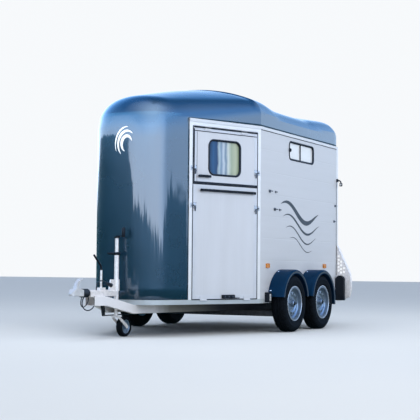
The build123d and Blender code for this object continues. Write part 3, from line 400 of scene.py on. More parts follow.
ALONG_DOOR = (math.cos(TAPER), -math.sin(TAPER), 0)
DOOR_PANE_HALF = 0.212
door_pane_start = (
    Vector((BEND_X + SHIFT, HALF_WIDTH, 0)).dot(Vector(ALONG_DOOR)) + DOOR_WINDOW[0] - DOOR_PANE_HALF
)
grooves("wall_panel", (0, 0, 1), 0.25, 0.008, 0.0007, 0.06)
grooves("door_panel", ALONG_DOOR, 0.228, 0.008, 0.0003, 0.09)
grooves("ramp_panel", (0, 1, 0), 0.20, 0.010, 0.0012)
# Bands across the door's pane, greens, pale blues and dark navy, are a painted reflection of trees and sky
streaked("door_glass", ALONG_DOOR, door_pane_start, 2 * DOOR_PANE_HALF, 0.12, (
    (0.00, (0.24, 0.30, 0.20)), (0.12, (0.46, 0.52, 0.40)), (0.25, (0.34, 0.42, 0.34)), (0.36, (0.58, 0.66, 0.68)),
    (0.44, (0.16, 0.25, 0.38)), (0.52, (0.52, 0.62, 0.74)), (0.59, (0.18, 0.28, 0.44)), (0.66, (0.40, 0.52, 0.62)),
    (0.73, (0.02, 0.06, 0.16)), (0.86, (0.02, 0.09, 0.24)), (1.00, (0.008, 0.03, 0.08)),
))
# The drawbar's beams are dark under the body, a painted shade with some dirt in it, and bright ahead of it
streaked("beam_metal", (1, 0, 0), SHIFT, 4.20, 0.04, (
    (0.0, (0.05, 0.05, 0.055)), (0.55, (0.06, 0.06, 0.065)), (0.74, (0.30, 0.27, 0.22)), (0.80, (0.76, 0.71, 0.68)),
    (1.0, (0.82, 0.77, 0.74)),
))

# Materials of the CAD nodes: by node, else by slot, else the material with the slot's own name
NODE_MATERIAL = {
    "top_rail_left": "rail_metal", "top_rail_right": "rail_metal", "base_frame": "sill_metal",
    "side_flap": "door_panel", "side_ramp": "door_panel", "rear_ramp": "ramp_panel", "rear_flap": "ramp_panel",
    "side_flap_pane": "door_glass", "brake_linkage": "linkage_shade", "coupling_head": "cast_metal",
    "coupling_lever": "cast_metal", "drawbar_beams": "beam_metal", "cross_members": "underbody_shade_and_dirt",
    "axle_front": "underbody_shade_and_dirt", "axle_rear": "underbody_shade_and_dirt",
}
SLOT_MATERIAL = {
    "hood_polyester": "polyester", "frame_profile": "profile_metal", "gasket_rubber": "rubber",
    "pane_glass": "window_glass", "marker_lens": "orange_lens", "floor_board": "floor_mat",
    "partition_panel": "padding",
}
for subpart in frame["record"]["subparts"]:
    name, slot = subpart["node"], subpart["material_slot"]
    used = frame["nodes"][name].data.materials
    used.clear()
    used.append(MATERIALS[NODE_MATERIAL.get(name, SLOT_MATERIAL.get(slot, slot))])


# Roof hood and nose: one moulded skin

# x, height where the shoulder starts, shoulder radius, crown height, height of the band above the shoulder
HOOD_SECTIONS = (
    (-0.050, 2.440, 0.190, 2.694, 0.045),
    (0.250, 2.436, 0.190, 2.694, 0.045),
    (0.570, 2.412, 0.190, 2.690, 0.045),
    (0.700, 2.400, 0.190, 2.668, 0.045),
    (0.800, 2.390, 0.180, 2.624, 0.045),
    (1.330, 2.388, 0.180, 2.622, 0.045),
    (1.620, 2.392, 0.180, 2.638, 0.045),
    (1.760, 2.398, 0.180, 2.664, 0.050),
    (1.860, 2.408, 0.190, 2.694, 0.055),
    (1.970, 2.425, 0.200, 2.744, 0.060),
    (2.110, 2.440, 0.200, 2.786, 0.040),
    (BEND_X, 2.440, 0.200, 2.780, 0.0),
    (2.700, 2.350, 0.250, 2.705, 0.0),
    (3.200, 2.250, 0.305, 2.602, 0.0),
    (3.660, 2.200, 0.332, 2.500, 0.0),
)
FRONT_RADIUS, FRONT_LEAN = 0.345, math.radians(12.6)
REAR_RADIUS = 0.256
NOSE_POWER, REAR_POWER = 3.67, 7.0
SMOOTHING = 0.09
# Between the front's rounding and the rear's
MIDDLE_X = 1.4
# Where on the spine the paths from the rear end and from the walls begin, the share of the way ahead that those from
# the taper keep, and the stretch that the nose takes up
SPINE_REAR, SPINE_WALL, SPINE_TAPER, SPINE_NOSE = 0.30, 0.50, 0.56, 0.16
# How far from the door frame's end a column may lie and still count as at it
SEAM = 0.0005
# Columns along the straight wall, the taper and the front
WALL_COLUMNS, TAPER_COLUMNS, NOSE_COLUMNS = 65, 44, 18
# How much of a column's way inward its shoulder takes, and how far it goes at most
SHOULDER_SHARE, SHOULDER_REACH = 0.62, 0.46
WALL_STEPS, SHOULDER_STEPS, TOP_STEPS = 11, 14, 9
# Points of a finished column above the eaves and below them, and how much closer those above are near the eaves
UPPER, LOWER, UPPER_EASE = 30, 16, 0.55
# Halvings in the search for the outline's place on a path
BISECTIONS = 26
BULGE, BULGE_HALF, BULGE_TOP = 0.026, 0.5, 2.42
HOOD_THICKNESS = 0.012


def section_at(x):
    """The hood's section values at x, by straight steps."""
    x = min(max(x, HOOD_SECTIONS[0][0]), HOOD_SECTIONS[-1][0])
    for low, high in zip(HOOD_SECTIONS, HOOD_SECTIONS[1:]):
        if x <= high[0]:
            t = (x - low[0]) / (high[0] - low[0])
            return [a + (b - a) * t for a, b in zip(low[1:], high[1:])]


def smooth_section(x):
    """The section values averaged over a short stretch either side of x, but not across the bend."""
    offsets = [SMOOTHING * k / 3 for k in range(-3, 4)]
    rows = [section_at(x + o) for o in offsets if (x + o <= BEND_X) == (x <= BEND_X)]
    shoulder_z, radius, crown_z, band = [sum(column) / len(rows) for column in zip(*rows)]
    return shoulder_z, min(radius, 0.93 * (crown_z - shoulder_z)), crown_z, band


def side_half(x):
    """Half width of the plan at x, without the nose's round corners."""
    return min(HALF_WIDTH, HALF_WIDTH - (x - BEND_X) * math.tan(TAPER))


def side_drop(edge, half, shoulder_z, radius, crown_z, band):
    """How far the shoulder falls below the crowned top: edge is 1 at the wall and 0 at the radius inward."""
    inner = half - radius
    rise = crown_z - shoulder_z
    crown_radius = (inner**2 + rise**2 - radius**2) / (2 * (rise - radius))
    y = half - radius * (1 - edge)
    top = crown_z - crown_radius + math.sqrt(max(0.0, crown_radius**2 - y**2))
    tangent = inner / (crown_radius - radius)
    if edge <= tangent:
        return 0.0, crown_radius
    z = shoulder_z + radius * math.sqrt(max(0.0, 1 - edge**2))
    if band > 0:
        angle = 2 * math.atan(band / radius)
        if edge > math.cos(angle):
            z = shoulder_z + band + radius * (1 - edge) / math.tan(angle)
    return top - z, crown_radius


def end_drop(edge, radius, lean):
    """How far an end's rounding falls below the top line that leans back from it."""
    if edge <= math.sin(lean):
        return 0.0
    top = (1 - edge * math.sin(lean)) / math.cos(lean)
    return radius * (top - math.sqrt(max(0.0, 1 - edge**2)))


def hood_height(x, y):
    """(closeness to the outline, 1 on it; height of the hood there)."""
    shoulder_z, radius, crown_z, band = smooth_section(x)
    half = side_half(x)
    wall = (half - abs(y)) * (math.cos(TAPER) if x > BEND_X else 1)
    side = max(0.0, 1 - wall / radius)
    if x > MIDDLE_X:
        gap, end_radius, lean, power = NOSE_X - x, FRONT_RADIUS, FRONT_LEAN, NOSE_POWER
    else:
        gap, end_radius, lean, power = x - REAR_X, REAR_RADIUS, 0.0, REAR_POWER
    end = max(0.0, 1 - gap / end_radius)
    near = (side**power + end**power) ** (1 / power)
    drop, crown_radius = side_drop(min(near, 1.0), half, shoulder_z, radius, crown_z, band)
    top = crown_z - crown_radius + math.sqrt(max(0.0, crown_radius**2 - y**2))
    if near > 0 and end > 0:
        share = end**power / (side**power + end**power)
        drop = drop * (1 - share) + end_drop(min(near, 1.0), end_radius, lean) * share
    return near, top - drop


def outline_starts():
    """Points round the left half of the outline and the spine point that each runs to."""
    pairs = []
    for y in (0, 0.2, 0.4, 0.55, 0.68, 0.78, 0.85, 0.90, 0.925):
        pairs.append(((REAR_X, y), SPINE_REAR + (SPINE_WALL - SPINE_REAR) * y / HALF_WIDTH))
    for i in range(WALL_COLUMNS + 1):
        x = REAR_X + (BEND_X - REAR_X) * (0.002 + 0.998 * i / WALL_COLUMNS)
        pairs.append(((x, HALF_WIDTH), SPINE_WALL + (x - REAR_X) * (BEND_X - SPINE_WALL) / (BEND_X - REAR_X)))
    for i in range(1, TAPER_COLUMNS + 1):
        x = BEND_X + (NOSE_X - BEND_X) * i / TAPER_COLUMNS
        pairs.append(((x, side_half(x)), BEND_X + (x - BEND_X) * SPINE_TAPER))
    corner_y = side_half(NOSE_X)
    last = BEND_X + (NOSE_X - BEND_X) * SPINE_TAPER
    for i in range(1, NOSE_COLUMNS + 1):
        pairs.append(((NOSE_X, corner_y * (1 - i / NOSE_COLUMNS)), last + SPINE_NOSE * i / NOSE_COLUMNS))
    return pairs


def hood_columns():
    """For each outline point, its place on the moulded outline and the end of its path over the top."""
    columns = []
    for place, spine_x in outline_starts():
        start, end = Vector(place), Vector((spine_x, 0))
        low, high = 0.0, 0.0
        if hood_height(*place)[0] > 1:
            high = 0.5
            for _ in range(BISECTIONS):
                middle = (low + high) / 2
                if hood_height(*start.lerp(end, middle))[0] > 1:
                    low = middle
                else:
                    high = middle
        columns.append((start.lerp(end, high), end))
    return columns


def column_rows(foot, end):
    """Points of one column: up the wall to the eaves, and from the hood's edge over the shoulder to the spine."""
    run = (end - foot).length
    reach = min(SHOULDER_SHARE * run, SHOULDER_REACH)
    inward = [reach * (1 - math.cos(math.pi / 2 * k / SHOULDER_STEPS)) for k in range(SHOULDER_STEPS + 1)]
    inward += [reach + (run - reach) * k / TOP_STEPS for k in range(1, TOP_STEPS + 1)]
    over = [foot.lerp(end, d / run) for d in inward]
    path = [Vector((p.x, p.y, hood_height(p.x, p.y)[1])) for p in over]
    step = (EAVES_Z - WALL_Z) / WALL_STEPS
    wall = [Vector((foot.x, foot.y, WALL_Z + step * k)) for k in range(WALL_STEPS + 1)]
    return wall, path


def bulged(point):
    """The nose's slight outward crown, none at its lower edge and at the door frame."""
    start = BEND_X + DOOR_FRAME * math.cos(TAPER)
    if point.x <= start:
        return point
    share = min(1.0, (point.x - start) / (NOSE_X - start)) ** 2
    across = math.cos(math.pi / 2 * min(1.0, abs(point.y) / BULGE_HALF))
    height = max(0.0, math.sin(math.pi * (point.z - WALL_Z) / (BULGE_TOP - WALL_Z)))
    return point + Vector((BULGE * share * across * height, 0, 0))


def spread(points, count, ease):
    """The polyline through points at a fixed count, closer together near its start where ease is under 1."""
    lengths = [0.0]
    for a, b in zip(points, points[1:]):
        lengths.append(lengths[-1] + (b - a).length)
    made = []
    k = 0
    for i in range(count):
        t = i / (count - 1)
        target = lengths[-1] * (ease * t + (1 - ease) * t * t)
        while k < len(points) - 2 and lengths[k + 1] < target:
            k += 1
        span = max(lengths[k + 1] - lengths[k], 1e-9)
        made.append(points[k].lerp(points[k + 1], min(1.0, (target - lengths[k]) / span)))
    return made


def moulded_skin():
    """The hood over the rails and the nose down to the base frame, as one smooth skin."""
    seam_x = door(DOOR_FRAME, 0).x
    columns = []
    for foot, end in hood_columns():
        wall, path = column_rows(foot, end)
        above = next(k for k, p in enumerate(path) if p.z > EAVES_Z)
        if above:
            before, after = path[above - 1], path[above]
            eaves = before.lerp(after, (EAVES_Z - before.z) / (after.z - before.z))
            below = [p for p in wall if p.z < path[0].z - 0.02] + path[:above]
        else:
            eaves = Vector((foot.x, foot.y, EAVES_Z))
            below = wall[:-1]
        points = spread([eaves] + path[above:], UPPER, UPPER_EASE)
        if foot.x > seam_x - SEAM:
            points = spread(below + [eaves], LOWER + 1, 1.0)[:-1] + points
        columns.append((foot.x, points))
    shape = Shape()
    for side in (1, -1):
        half = [(x, [bulged(Vector((p.x, side * p.y, p.z))) for p in points]) for x, points in columns]
        nose = [points for x, points in half if x > seam_x - SEAM]
        hood = [points[-UPPER:] for x, points in half if x <= seam_x + SEAM]
        shape.grid(hood + [nose[0][-UPPER:]])
        shape.grid(nose)
    return shape


skin = moulded_skin().piece("moulded_hood", ["polyester", "inner_polyester"], "trailer", "hood_polyester", sharp=14)
thickness = skin.modifiers.new("wall", "SOLIDIFY")
thickness.thickness = HOOD_THICKNESS
thickness.offset = -1
thickness.material_offset = 1
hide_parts("roof_hood", "nose_panel")


# Windows: rubber gaskets round the panes

# A gasket's width outside its pane
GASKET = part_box("side_flap_gasket")[1].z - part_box("side_flap_pane")[1].z


def gasket(shape, place, window, bar=None):
    """A gasket with a rolled outer lip and a sleeve through the wall, and an upright bar where one is given."""
    x, z, width, height, radius = window
    # inward from the outer edge, out from the wall
    profile = (
        (0.0, 0.0), (0.001, 0.004), (0.004, 0.0065), (GASKET * 0.45, 0.0075), (GASKET - 0.006, 0.0065),
        (GASKET - 0.002, 0.004), (GASKET, 0.0), (GASKET, -WALL_THICKNESS), (GASKET / 2, -WALL_THICKNESS),
        (GASKET / 2, 0.0), (0.0, 0.0),
    )
    rows = []
    for inward, out in profile:
        ring = rounded(x, z, width - 2 * inward, height - 2 * inward, radius - inward, 8)
        rows.append([place(a, b, out) for a, b in ring])
    shape.grid(rows, closed=True)
    if bar is not None:
        low, high = z - height / 2 + GASKET * 0.8, z + height / 2 - GASKET * 0.8
        strip(shape, place, (x + bar - 0.003, low), (x + bar + 0.003, high), -0.013, 0.001)


window_rubber, flap_rubber, rear_flap_rubber = Shape(), Shape(), Shape()
gasket(window_rubber, left, SIDE_WINDOW, 0.030)
gasket(window_rubber, right, SIDE_WINDOW, 0.030)
gasket(window_rubber, far_door, DOOR_WINDOW)
for wall in (left, right):
    strips(
        window_rubber, wall, ((1.466, 2.100), (1.502, 2.142), 0.002, 0.016, 0.003),
        ((1.476, 2.108), (1.492, 2.134), 0.016, 0.026, 0.003),
    )
gasket(flap_rubber, door, DOOR_WINDOW)
gasket(rear_flap_rubber, rear, REAR_WINDOW)
window_rubber.piece("side_window_gaskets", ["rubber"], "trailer", "gasket_rubber", "body_window_gaskets")
flap_rubber.piece("door_window_gasket", ["rubber"], "side_flap", "gasket_rubber", "side_flap_gasket")
rear_flap_rubber.piece("rear_window_gasket", ["rubber"], "rear_flap", "gasket_rubber", "rear_flap_gasket")


# Side exit: borders, seals, latches, handle and foot rest

LEAF_LEFT, LEAF_RIGHT = 0.054, 0.963
RAMP_LOW, RAMP_HIGH = 0.391, 1.611
FLAP_LOW, FLAP_HIGH = 1.623, 2.225
HINGE_Z = 2.238
FLAP_LATCH_Z, RAMP_LATCH_Z = 1.782, 1.385
HARDWARE = ["latch_metal", "black_plastic", "bright_metal"]
BLACK, BRIGHT = 1, 2


def border(shape, place, a, b, low, high, width=0.042):
    """A leaf's edge profile from a to b and from low to high, four flat bars that touch."""
    for corner, far in (
        ((a, low), (a + width, high)), ((b - width, low), (b, high)),
        ((a + width, low), (b - width, low + width)), ((a + width, high - width), (b - width, high)),
    ):
        strip(shape, place, corner, far, -0.001, 0.0015, 0.001)


def seal_line(shape, place, a, b, low, high, width, inner=-0.022, outer=0.0025):
    """A rubber seal in the gap round a leaf that reaches from a to b and from low to high."""
    for corner, far in (
        ((a - width, low), (a, high)), ((b, low), (b + width, high)),
        ((a - width, high), (b + width, high + width)), ((a - width, low - width), (b + width, low)),
    ):
        strip(shape, place, corner, far, inner, outer, 0.001)


flap_border, ramp_border, exit_seal, flap_seal = Shape(), Shape(), Shape(), Shape()
border(flap_border, door, LEAF_LEFT, LEAF_RIGHT, FLAP_LOW, FLAP_HIGH)
flap_border.rod(door(LEAF_LEFT, HINGE_Z, 0.008), door(LEAF_RIGHT, HINGE_Z, 0.008), 0.0050, 12)
border(ramp_border, door, LEAF_LEFT, LEAF_RIGHT, RAMP_LOW, RAMP_HIGH)
seal_line(exit_seal, door, LEAF_LEFT - 0.001, LEAF_RIGHT + 0.001, RAMP_LOW - 0.001, FLAP_HIGH + 0.001, 0.010)
strips(
    flap_seal, door,
    ((LEAF_LEFT, 1.6135), (LEAF_RIGHT, FLAP_LOW), -0.024, -0.002, 0.001),
    ((LEAF_LEFT, FLAP_LOW), (LEAF_RIGHT, FLAP_LOW + 0.020), 0.0015, 0.0055, 0.001),
    ((LEAF_RIGHT - 0.015, FLAP_LOW + 0.020), (LEAF_RIGHT, FLAP_HIGH - 0.02), 0.0015, 0.0045, 0.001),
    ((LEAF_LEFT + 0.004, 2.180), (LEAF_RIGHT - 0.004, 2.188), 0.0015, 0.0040, 0.001),
    # The dark strip along the flap's top edge is painted shade under the frame's lip
    ((LEAF_LEFT + 0.002, 2.217), (LEAF_RIGHT - 0.002, FLAP_HIGH + 0.005), 0.0015, 0.0097, 0.001),
    ((LEAF_RIGHT - 0.050, FLAP_LOW + 0.020), (LEAF_RIGHT - 0.046, FLAP_HIGH - 0.05), 0.0015, 0.0030, 0.001),
)
flap_border.piece("side_flap_border", ["leaf_edge"], "side_flap", "frame_profile")
ramp_border.piece("side_ramp_border", ["leaf_edge"], "side_ramp", "frame_profile")
exit_seal.piece("side_exit_seal", ["rubber"], "trailer", "gasket_rubber")
flap_seal.piece("side_flap_seal", ["rubber"], "side_flap", "gasket_rubber")


def latch(shape, place, a, z, towards):
    """A cam latch on a leaf's edge whose hook reaches over onto the frame; towards is 1 for larger a."""
    out = outward(place, a, z)
    shape.prism(rounded(a, z, 0.042, 0.068, 0.008, 3), place, 0.0005, 0.004, 0.001, BRIGHT)
    boss = [(0, 0.0105), (0.009, 0.0105), (0.012, 0.008), (0.014, 0.004), (0.014, 0), (0, 0)]
    shape.lathe(boss, place(a, z, 0.004), out, 16, BRIGHT)
    hook = [
        (a - towards * 0.006, z - 0.007), (a + towards * 0.044, z - 0.006), (a + towards * 0.050, z),
        (a + towards * 0.044, z + 0.006), (a - towards * 0.006, z + 0.007),
    ]
    shape.prism(hook, place, 0.008, 0.012, 0.001)
    shape.prism(rounded(a, z - 0.031, 0.014, 0.062, 0.0068, 4), place, 0.010, 0.0148, 0.0015)
    for across in (-0.016, 0.016):
        for up in (-0.029, 0.029):
            at = place(a + across, z + up, 0.004)
            shape.lathe([(0, 0.002), (0.003, 0.0015), (0.004, 0), (0, 0)], at, out, 8)


def keeper(shape, place, a, z):
    """The plate on the frame that a latch hooks over."""
    shape.prism(rounded(a, z, 0.022, 0.052, 0.006, 3), place, 0.0003, 0.003, 0.0008, BRIGHT)


def grip_bar(shape, place, start, end, z, feet):
    """A flat black bar on feet at shares of its length, with a screw's head over each foot."""
    bar = rounded((start + end) / 2, z, end - start, 0.027, 0.008, 3)
    shape.prism(bar, place, 0.018, 0.030, 0.003, BLACK)
    for share in feet:
        a = start + (end - start) * share
        strip(shape, place, (a - 0.011, z - 0.009), (a + 0.011, z + 0.009), 0.0005, 0.019, 0.001, BLACK)
        head = [(0, 0.002), (0.004, 0.002), (0.0055, 0), (0, 0)]
        shape.lathe(head, place(a, z, 0.030), outward(place, a, z), 10)


flap_hardware, ramp_hardware, rear_hardware, wall_hardware = Shape(), Shape(), Shape(), Shape()
for a, towards in ((LEAF_LEFT + 0.022, -1), (LEAF_RIGHT - 0.022, 1)):
    for hardware, z in ((flap_hardware, FLAP_LATCH_Z), (ramp_hardware, RAMP_LATCH_Z)):
        latch(hardware, door, a, z, towards)
        keeper(wall_hardware, door, a + towards * 0.048, z)
grip_bar(flap_hardware, door, 0.735, 0.905, 1.702, (0.12, 0.88))
grip_bar(ramp_hardware, door, 0.090, 0.880, 1.552, (0.05, 0.35, 0.65, 0.95))
# The step box at the ramp's foot
strip(ramp_hardware, door, (0.3845, 0.394), (0.5595, 0.434), 0.0015, 0.026, 0.004, BLACK)
for a in (0.415, 0.470, 0.528):
    strip(ramp_hardware, door, (a - 0.009, 0.405), (a + 0.009, 0.424), 0.026, 0.0285, 0.001)
strip(ramp_hardware, door, (0.320, 0.394), (0.500, 0.404), 0.018, 0.026, 0.003, BLACK)
for side in (1, -1):
    latch(rear_hardware, rear, side * 0.843, RAMP_LATCH_Z, side)
    keeper(wall_hardware, rear, side * 0.887, RAMP_LATCH_Z)
# Clips on the left wall that hold the open leaves: a plate with a peg, a plate with a hook
for front, back, z in ((2.040, 1.853, 1.600), (1.904, 1.741, 1.400)):
    wall_hardware.prism(rounded(front - 0.020, z, 0.052, 0.034, 0.008, 3), left, 0.0005, 0.005, 0.001)
    wall_hardware.tube([left(front, z, 0.004), left(front, z, 0.020), left(front - 0.045, z, 0.026)], 0.006, 8)
    wall_hardware.prism(rounded(back + 0.012, z, 0.034, 0.026, 0.007, 3), left, 0.0005, 0.004, 0.001)
    hook = ((0.022, 0, 0.003), (0.022, 0, 0.016), (0, 0.004, 0.019), (-0.010, -0.004, 0.010))
    wall_hardware.tube([left(back + ahead, z + up, out) for ahead, up, out in hook], 0.0035, 8)
flap_hardware.piece("side_flap_hardware", HARDWARE, "side_flap", "galvanised", "side_flap_fittings")
ramp_hardware.piece("side_ramp_hardware", HARDWARE, "side_ramp", "black_plastic", "side_ramp_fittings")
rear_hardware.piece("rear_ramp_hardware", HARDWARE, "rear_ramp", "galvanised", "rear_ramp_latches")
wall_hardware.piece("wall_hardware", HARDWARE, "trailer", "galvanised", "wall_fittings")


# Side walls: rubber lines at the rear edge and under the rail, small latches, the outline lamps on their arms

LAMP_X = -0.026
edge_line, edge_latches, lamp_arms, lamp_lenses = Shape(), Shape(), Shape(), Shape()
rail_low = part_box("top_rail_left")[0].z
for wall in (left, right):
    strips(
        edge_line, wall, ((0.002, 0.650), (0.011, 1.880), 0.0005, 0.0035, 0.001),
        ((0.004, rail_low - 0.007), (BEND_X - 0.010, rail_low - 0.0005), 0.0002, 0.0020, 0.0005),
    )
    for x, z in ((0.050, 1.539), (0.083, 1.337)):
        edge_latches.prism(rounded(x, z, 0.040, 0.030, 0.007, 3), wall, 0.0005, 0.005, 0.001)
        edge_latches.tube([wall(x + 0.010, z, 0.004), wall(x + 0.010, z, 0.016), wall(x - 0.024, z, 0.018)], 0.004, 8)
    lamp_arms.prism(rounded(-0.018, 1.872, 0.050, 0.040, 0.010, 3), wall, 0.0005, 0.012, 0.002)
    arm = [(-0.020, 1.874, 0.006), (-0.022, 1.872, 0.030), (-0.024, 1.858, 0.046), (-0.025, 1.842, 0.052)]
    lamp_arms.tube([wall(*point) for point in arm], 0.009, 10)
    case = [(0, -0.030), (0.016, -0.030), (0.020, -0.022), (0.020, 0.008), (0.014, 0.014), (0, 0.014)]
    lamp_arms.lathe(case, wall(LAMP_X, 1.826, 0.050), (0, 0, 1), 18)
    lens = [(0, 0.030), (0.010, 0.028), (0.015, 0.022), (0.016, 0.012), (0, 0.012)]
    # clear to the front, red to the rear
    for ahead, mat in ((1, 0), (-1, 1)):
        lamp_lenses.lathe(lens, wall(LAMP_X, 1.816, 0.050), (ahead, 0, 0), 16, mat)
edge_line.piece("rear_edge_line", ["rubber"], "trailer", "gasket_rubber")
edge_latches.piece("rear_edge_latches", ["latch_metal"], "trailer", "galvanised")
lamp_arms.piece("outline_lamp_arms", ["rubber"], "trailer", "gasket_rubber", "outline_lamps")
lamp_lenses.piece("outline_lamp_lenses", ["clear_lens", "red_lens"], "trailer", "marker_lens")


# Wheels: tyres with their tread, valves and centre caps

WHEEL_Y, TYRE_RADIUS = 1.026, 0.325
AXLES = {"front": 1.693, "rear": 0.869}
TREAD_BLOCKS = 54
# How far the tread's grooves lean, in blocks per metre from the middle
TREAD_LEAN = 0.25 / 0.06
VALVE_ANGLE, VALVE_RADIUS = 1.1, 0.150


def tyre(label, x, side):
    """A tyre with ribs, cross grooves at its shoulders, sidewall rings and a bead."""
    shape = Shape()
    # radius, distance from the middle, depth of the cross grooves there
    half = (
        (0.178, 0.070, 0), (0.197, 0.072, 0), (0.199, 0.076, 0), (0.205, 0.079, 0), (0.219, 0.0835, 0),
        (0.221, 0.0855, 0), (0.225, 0.0855, 0), (0.227, 0.0840, 0), (0.246, 0.0870, 0), (0.262, 0.0868, 0),
        (0.264, 0.0875, 0), (0.268, 0.0872, 0), (0.270, 0.0862, 0), (0.288, 0.0830, 0), (0.300, 0.0780, 0.0015),
        (0.310, 0.0720, 0.004), (0.3185, 0.0640, 0.006), (0.3225, 0.0560, 0.0065), (0.3240, 0.0420, 0.0065),
        (0.3242, 0.0400, 0), (0.3175, 0.0385, 0), (0.3175, 0.0315, 0), (0.3248, 0.0300, 0), (0.3250, 0.0110, 0),
        (0.3182, 0.0095, 0), (0.3182, 0.0045, 0), (0.3250, 0.0030, 0),
    )
    rows = []
    for r, y, depth in both_sides(half):
        ring = []
        for i in range(TREAD_BLOCKS):
            for phase, cut in ((0.0, 0), (0.70, 0), (0.76, 1), (0.94, 1)):
                angle = 2 * math.pi * (i + phase + TREAD_LEAN * abs(y)) / TREAD_BLOCKS
                ring.append(on_arc(x, TYRE_RADIUS, r - depth * cut, angle, side * WHEEL_Y + y))
        rows.append(ring)
    shape.grid(rows + rows[:1], closed=True)
    shape.piece(f"tyre_{label}_tread", ["tyre_rubber"], f"wheel_{label}", "tyre_rubber", f"tyre_{label}", sharp=38)


def wheel_extras(label, x, side):
    """The centre cap, the valve and a ring of lighter metal on the rim's flange, a painted highlight."""
    shape = Shape()
    axis = (0, side, 0)
    cap = [(0, 0.010), (0.014, 0.009), (0.022, 0.005), (0.0255, 0.0), (0.0262, -0.012), (0, -0.012)]
    shape.lathe(cap, (x, side * (WHEEL_Y + 0.074), TYRE_RADIUS), axis, 24, BLACK)
    valve = on_arc(x, TYRE_RADIUS, VALVE_RADIUS, VALVE_ANGLE, side * (WHEEL_Y + 0.020))
    stem_end = valve + Vector((0.004, side * 0.034, 0.004))
    shape.rod(valve, stem_end, 0.004, 8)
    shape.rod(stem_end, valve + Vector((0.005, side * 0.044, 0.005)), 0.0052, 8)
    # A ring of lighter metal on the rim's flange: a painted highlight
    flange = [
        (0.1990, 0.0700), (0.2005, 0.0745), (0.1985, 0.0785), (0.1940, 0.0795), (0.1905, 0.0765), (0.1895, 0.0700),
    ]
    shape.lathe(flange + flange[:1], (x, side * WHEEL_Y, TYRE_RADIUS), axis, 64, BRIGHT)
    materials = ["rubber", "black_plastic", "bright_metal"]
    shape.piece(f"wheel_cap_{label}", materials, f"wheel_{label}", "black_plastic")


for axle, axle_x in AXLES.items():
    for side_name, side in SIDES:
        tyre(f"{axle}_{side_name}", axle_x, side)
        wheel_extras(f"{axle}_{side_name}", axle_x, side)


# Mudguards: an arch with a rounded outer lip, rolled at its inner edge

GUARD_Z, GUARD_RADIUS, GUARD_LIP, GUARD_FOOT = 0.348, 0.366, 0.048, 0.405
GUARD_STEPS = 44
REAR_SKIRT = 0.290
SCREW, ROLL = 1, 2


def arch(shape, profile, x, side, rear_z, foot_radius=None, mat=0):
    """A profile of (distance out, radius) carried over a wheel, and down to rear_z if that is below GUARD_Z.

    Each radius ends at the height of the guard's foot, or all at the angle that foot_radius has there.
    """
    rows = []
    for k in range(GUARD_STEPS + 1):
        row = []
        for out, radius in profile:
            front = math.asin((GUARD_FOOT - GUARD_Z) / (foot_radius or radius))
            back = math.pi - (front if rear_z > GUARD_Z else 0.0)
            row.append(on_arc(x, GUARD_Z, radius, front + (back - front) * k / GUARD_STEPS, side * out))
        rows.append(row)
    if rear_z < GUARD_Z:
        rows.append([Vector((x - radius, side * out, rear_z)) for out, radius in profile])
    shape.grid(rows, mat, closed=True, capped=True)


def mudguard(shape, x, side, rear_z):
    """One guard over a wheel with its lip's roll and its screws."""
    outer, inner = GUARD_RADIUS, GUARD_RADIUS - GUARD_LIP
    arch(shape, (
        (0.931, outer), (1.104, outer), (1.114, outer - 0.002), (1.122, outer - 0.006), (1.127, outer - 0.012),
        (1.128, outer - 0.020), (1.1255, outer - 0.028), (1.1255, inner + 0.008), (1.128, inner + 0.004),
        (1.125, inner), (1.1205, inner + 0.002), (1.120, outer - 0.016), (1.110, outer - 0.008),
        (0.931, outer - 0.008),
    ), x, side, rear_z)
    # The lip's roll takes the lighter grey of the painted sheen
    arch(shape, (
        (1.1190, outer - 0.012), (1.1262, outer - 0.012), (1.1276, outer - 0.018), (1.1280, outer - 0.026),
        (1.1272, inner + 0.014), (1.1250, inner + 0.005), (1.1215, inner + 0.001), (1.1190, inner + 0.003),
    ), x, side, rear_z + 0.001, outer - 0.008, ROLL)
    head = [(0, 0.004), (0.007, 0.003), (0.010, 0.0), (0, 0)]
    for angle in (0.35, 1.2, 1.95, 2.8):
        out = (math.cos(angle), 0, math.sin(angle))
        shape.lathe(head, on_arc(x, GUARD_Z, outer, angle, side * 0.955), out, 12, SCREW)
    lip_head = [(0, 0.0024), (0.006, 0.002), (0.009, 0.0), (0, 0)]
    shape.lathe(lip_head, on_arc(x, GUARD_Z, outer - 0.024, 0.62, side * 1.1255), (0, side, 0), 14, SCREW)


for side_name, side in SIDES:
    guards = Shape()
    mudguard(guards, AXLES["front"], side, GUARD_FOOT)
    mudguard(guards, AXLES["rear"], side, REAR_SKIRT)
    materials = ["guard_plastic", "chrome", "guard_lip_sheen"]
    name = f"mudguards_{side_name}"
    guards.piece(f"moulded_{name}", materials, "trailer", "guard_plastic", name)


# Lamps: lenses of the position lamps and the rear lamps

AMBER, RED = 2, 3
lenses, rear_lenses = Shape(), Shape()
for wall, side in ((left, 1), (right, -1)):
    strips(
        lenses, wall, ((2.104, 0.362), (2.134, 0.438), 0.0595, 0.067, 0.003),
        ((2.104, 0.362), (2.134, 0.438), 0.030, 0.0594, 0.002),
    )
    y = side * 0.992
    strips(
        rear_lenses, rear, ((y - 0.046, 0.548), (y + 0.046, 0.622), 0.0005, 0.007, 0.003, AMBER),
        ((y - 0.046, 0.452), (y + 0.046, 0.544), 0.0005, 0.007, 0.003, RED),
        ((y - 0.046, 0.346), (y + 0.046, 0.448), 0.0005, 0.007, 0.003, RED),
        ((y - 0.030, 0.362), (y + 0.030, 0.402), 0.007, 0.009, 0.001),
    )
lenses.piece("position_lamp_lenses", ["clear_lens", "black_plastic"], "trailer", "marker_lens")
materials = ["clear_lens", "black_plastic", "orange_lens", "red_lens"]
rear_lenses.piece("rear_lamp_lenses", materials, "trailer", "marker_lens")


# Jockey wheel: a rubber tyre on a steel rim, and the tube's black collar, clamp handle and crank grip

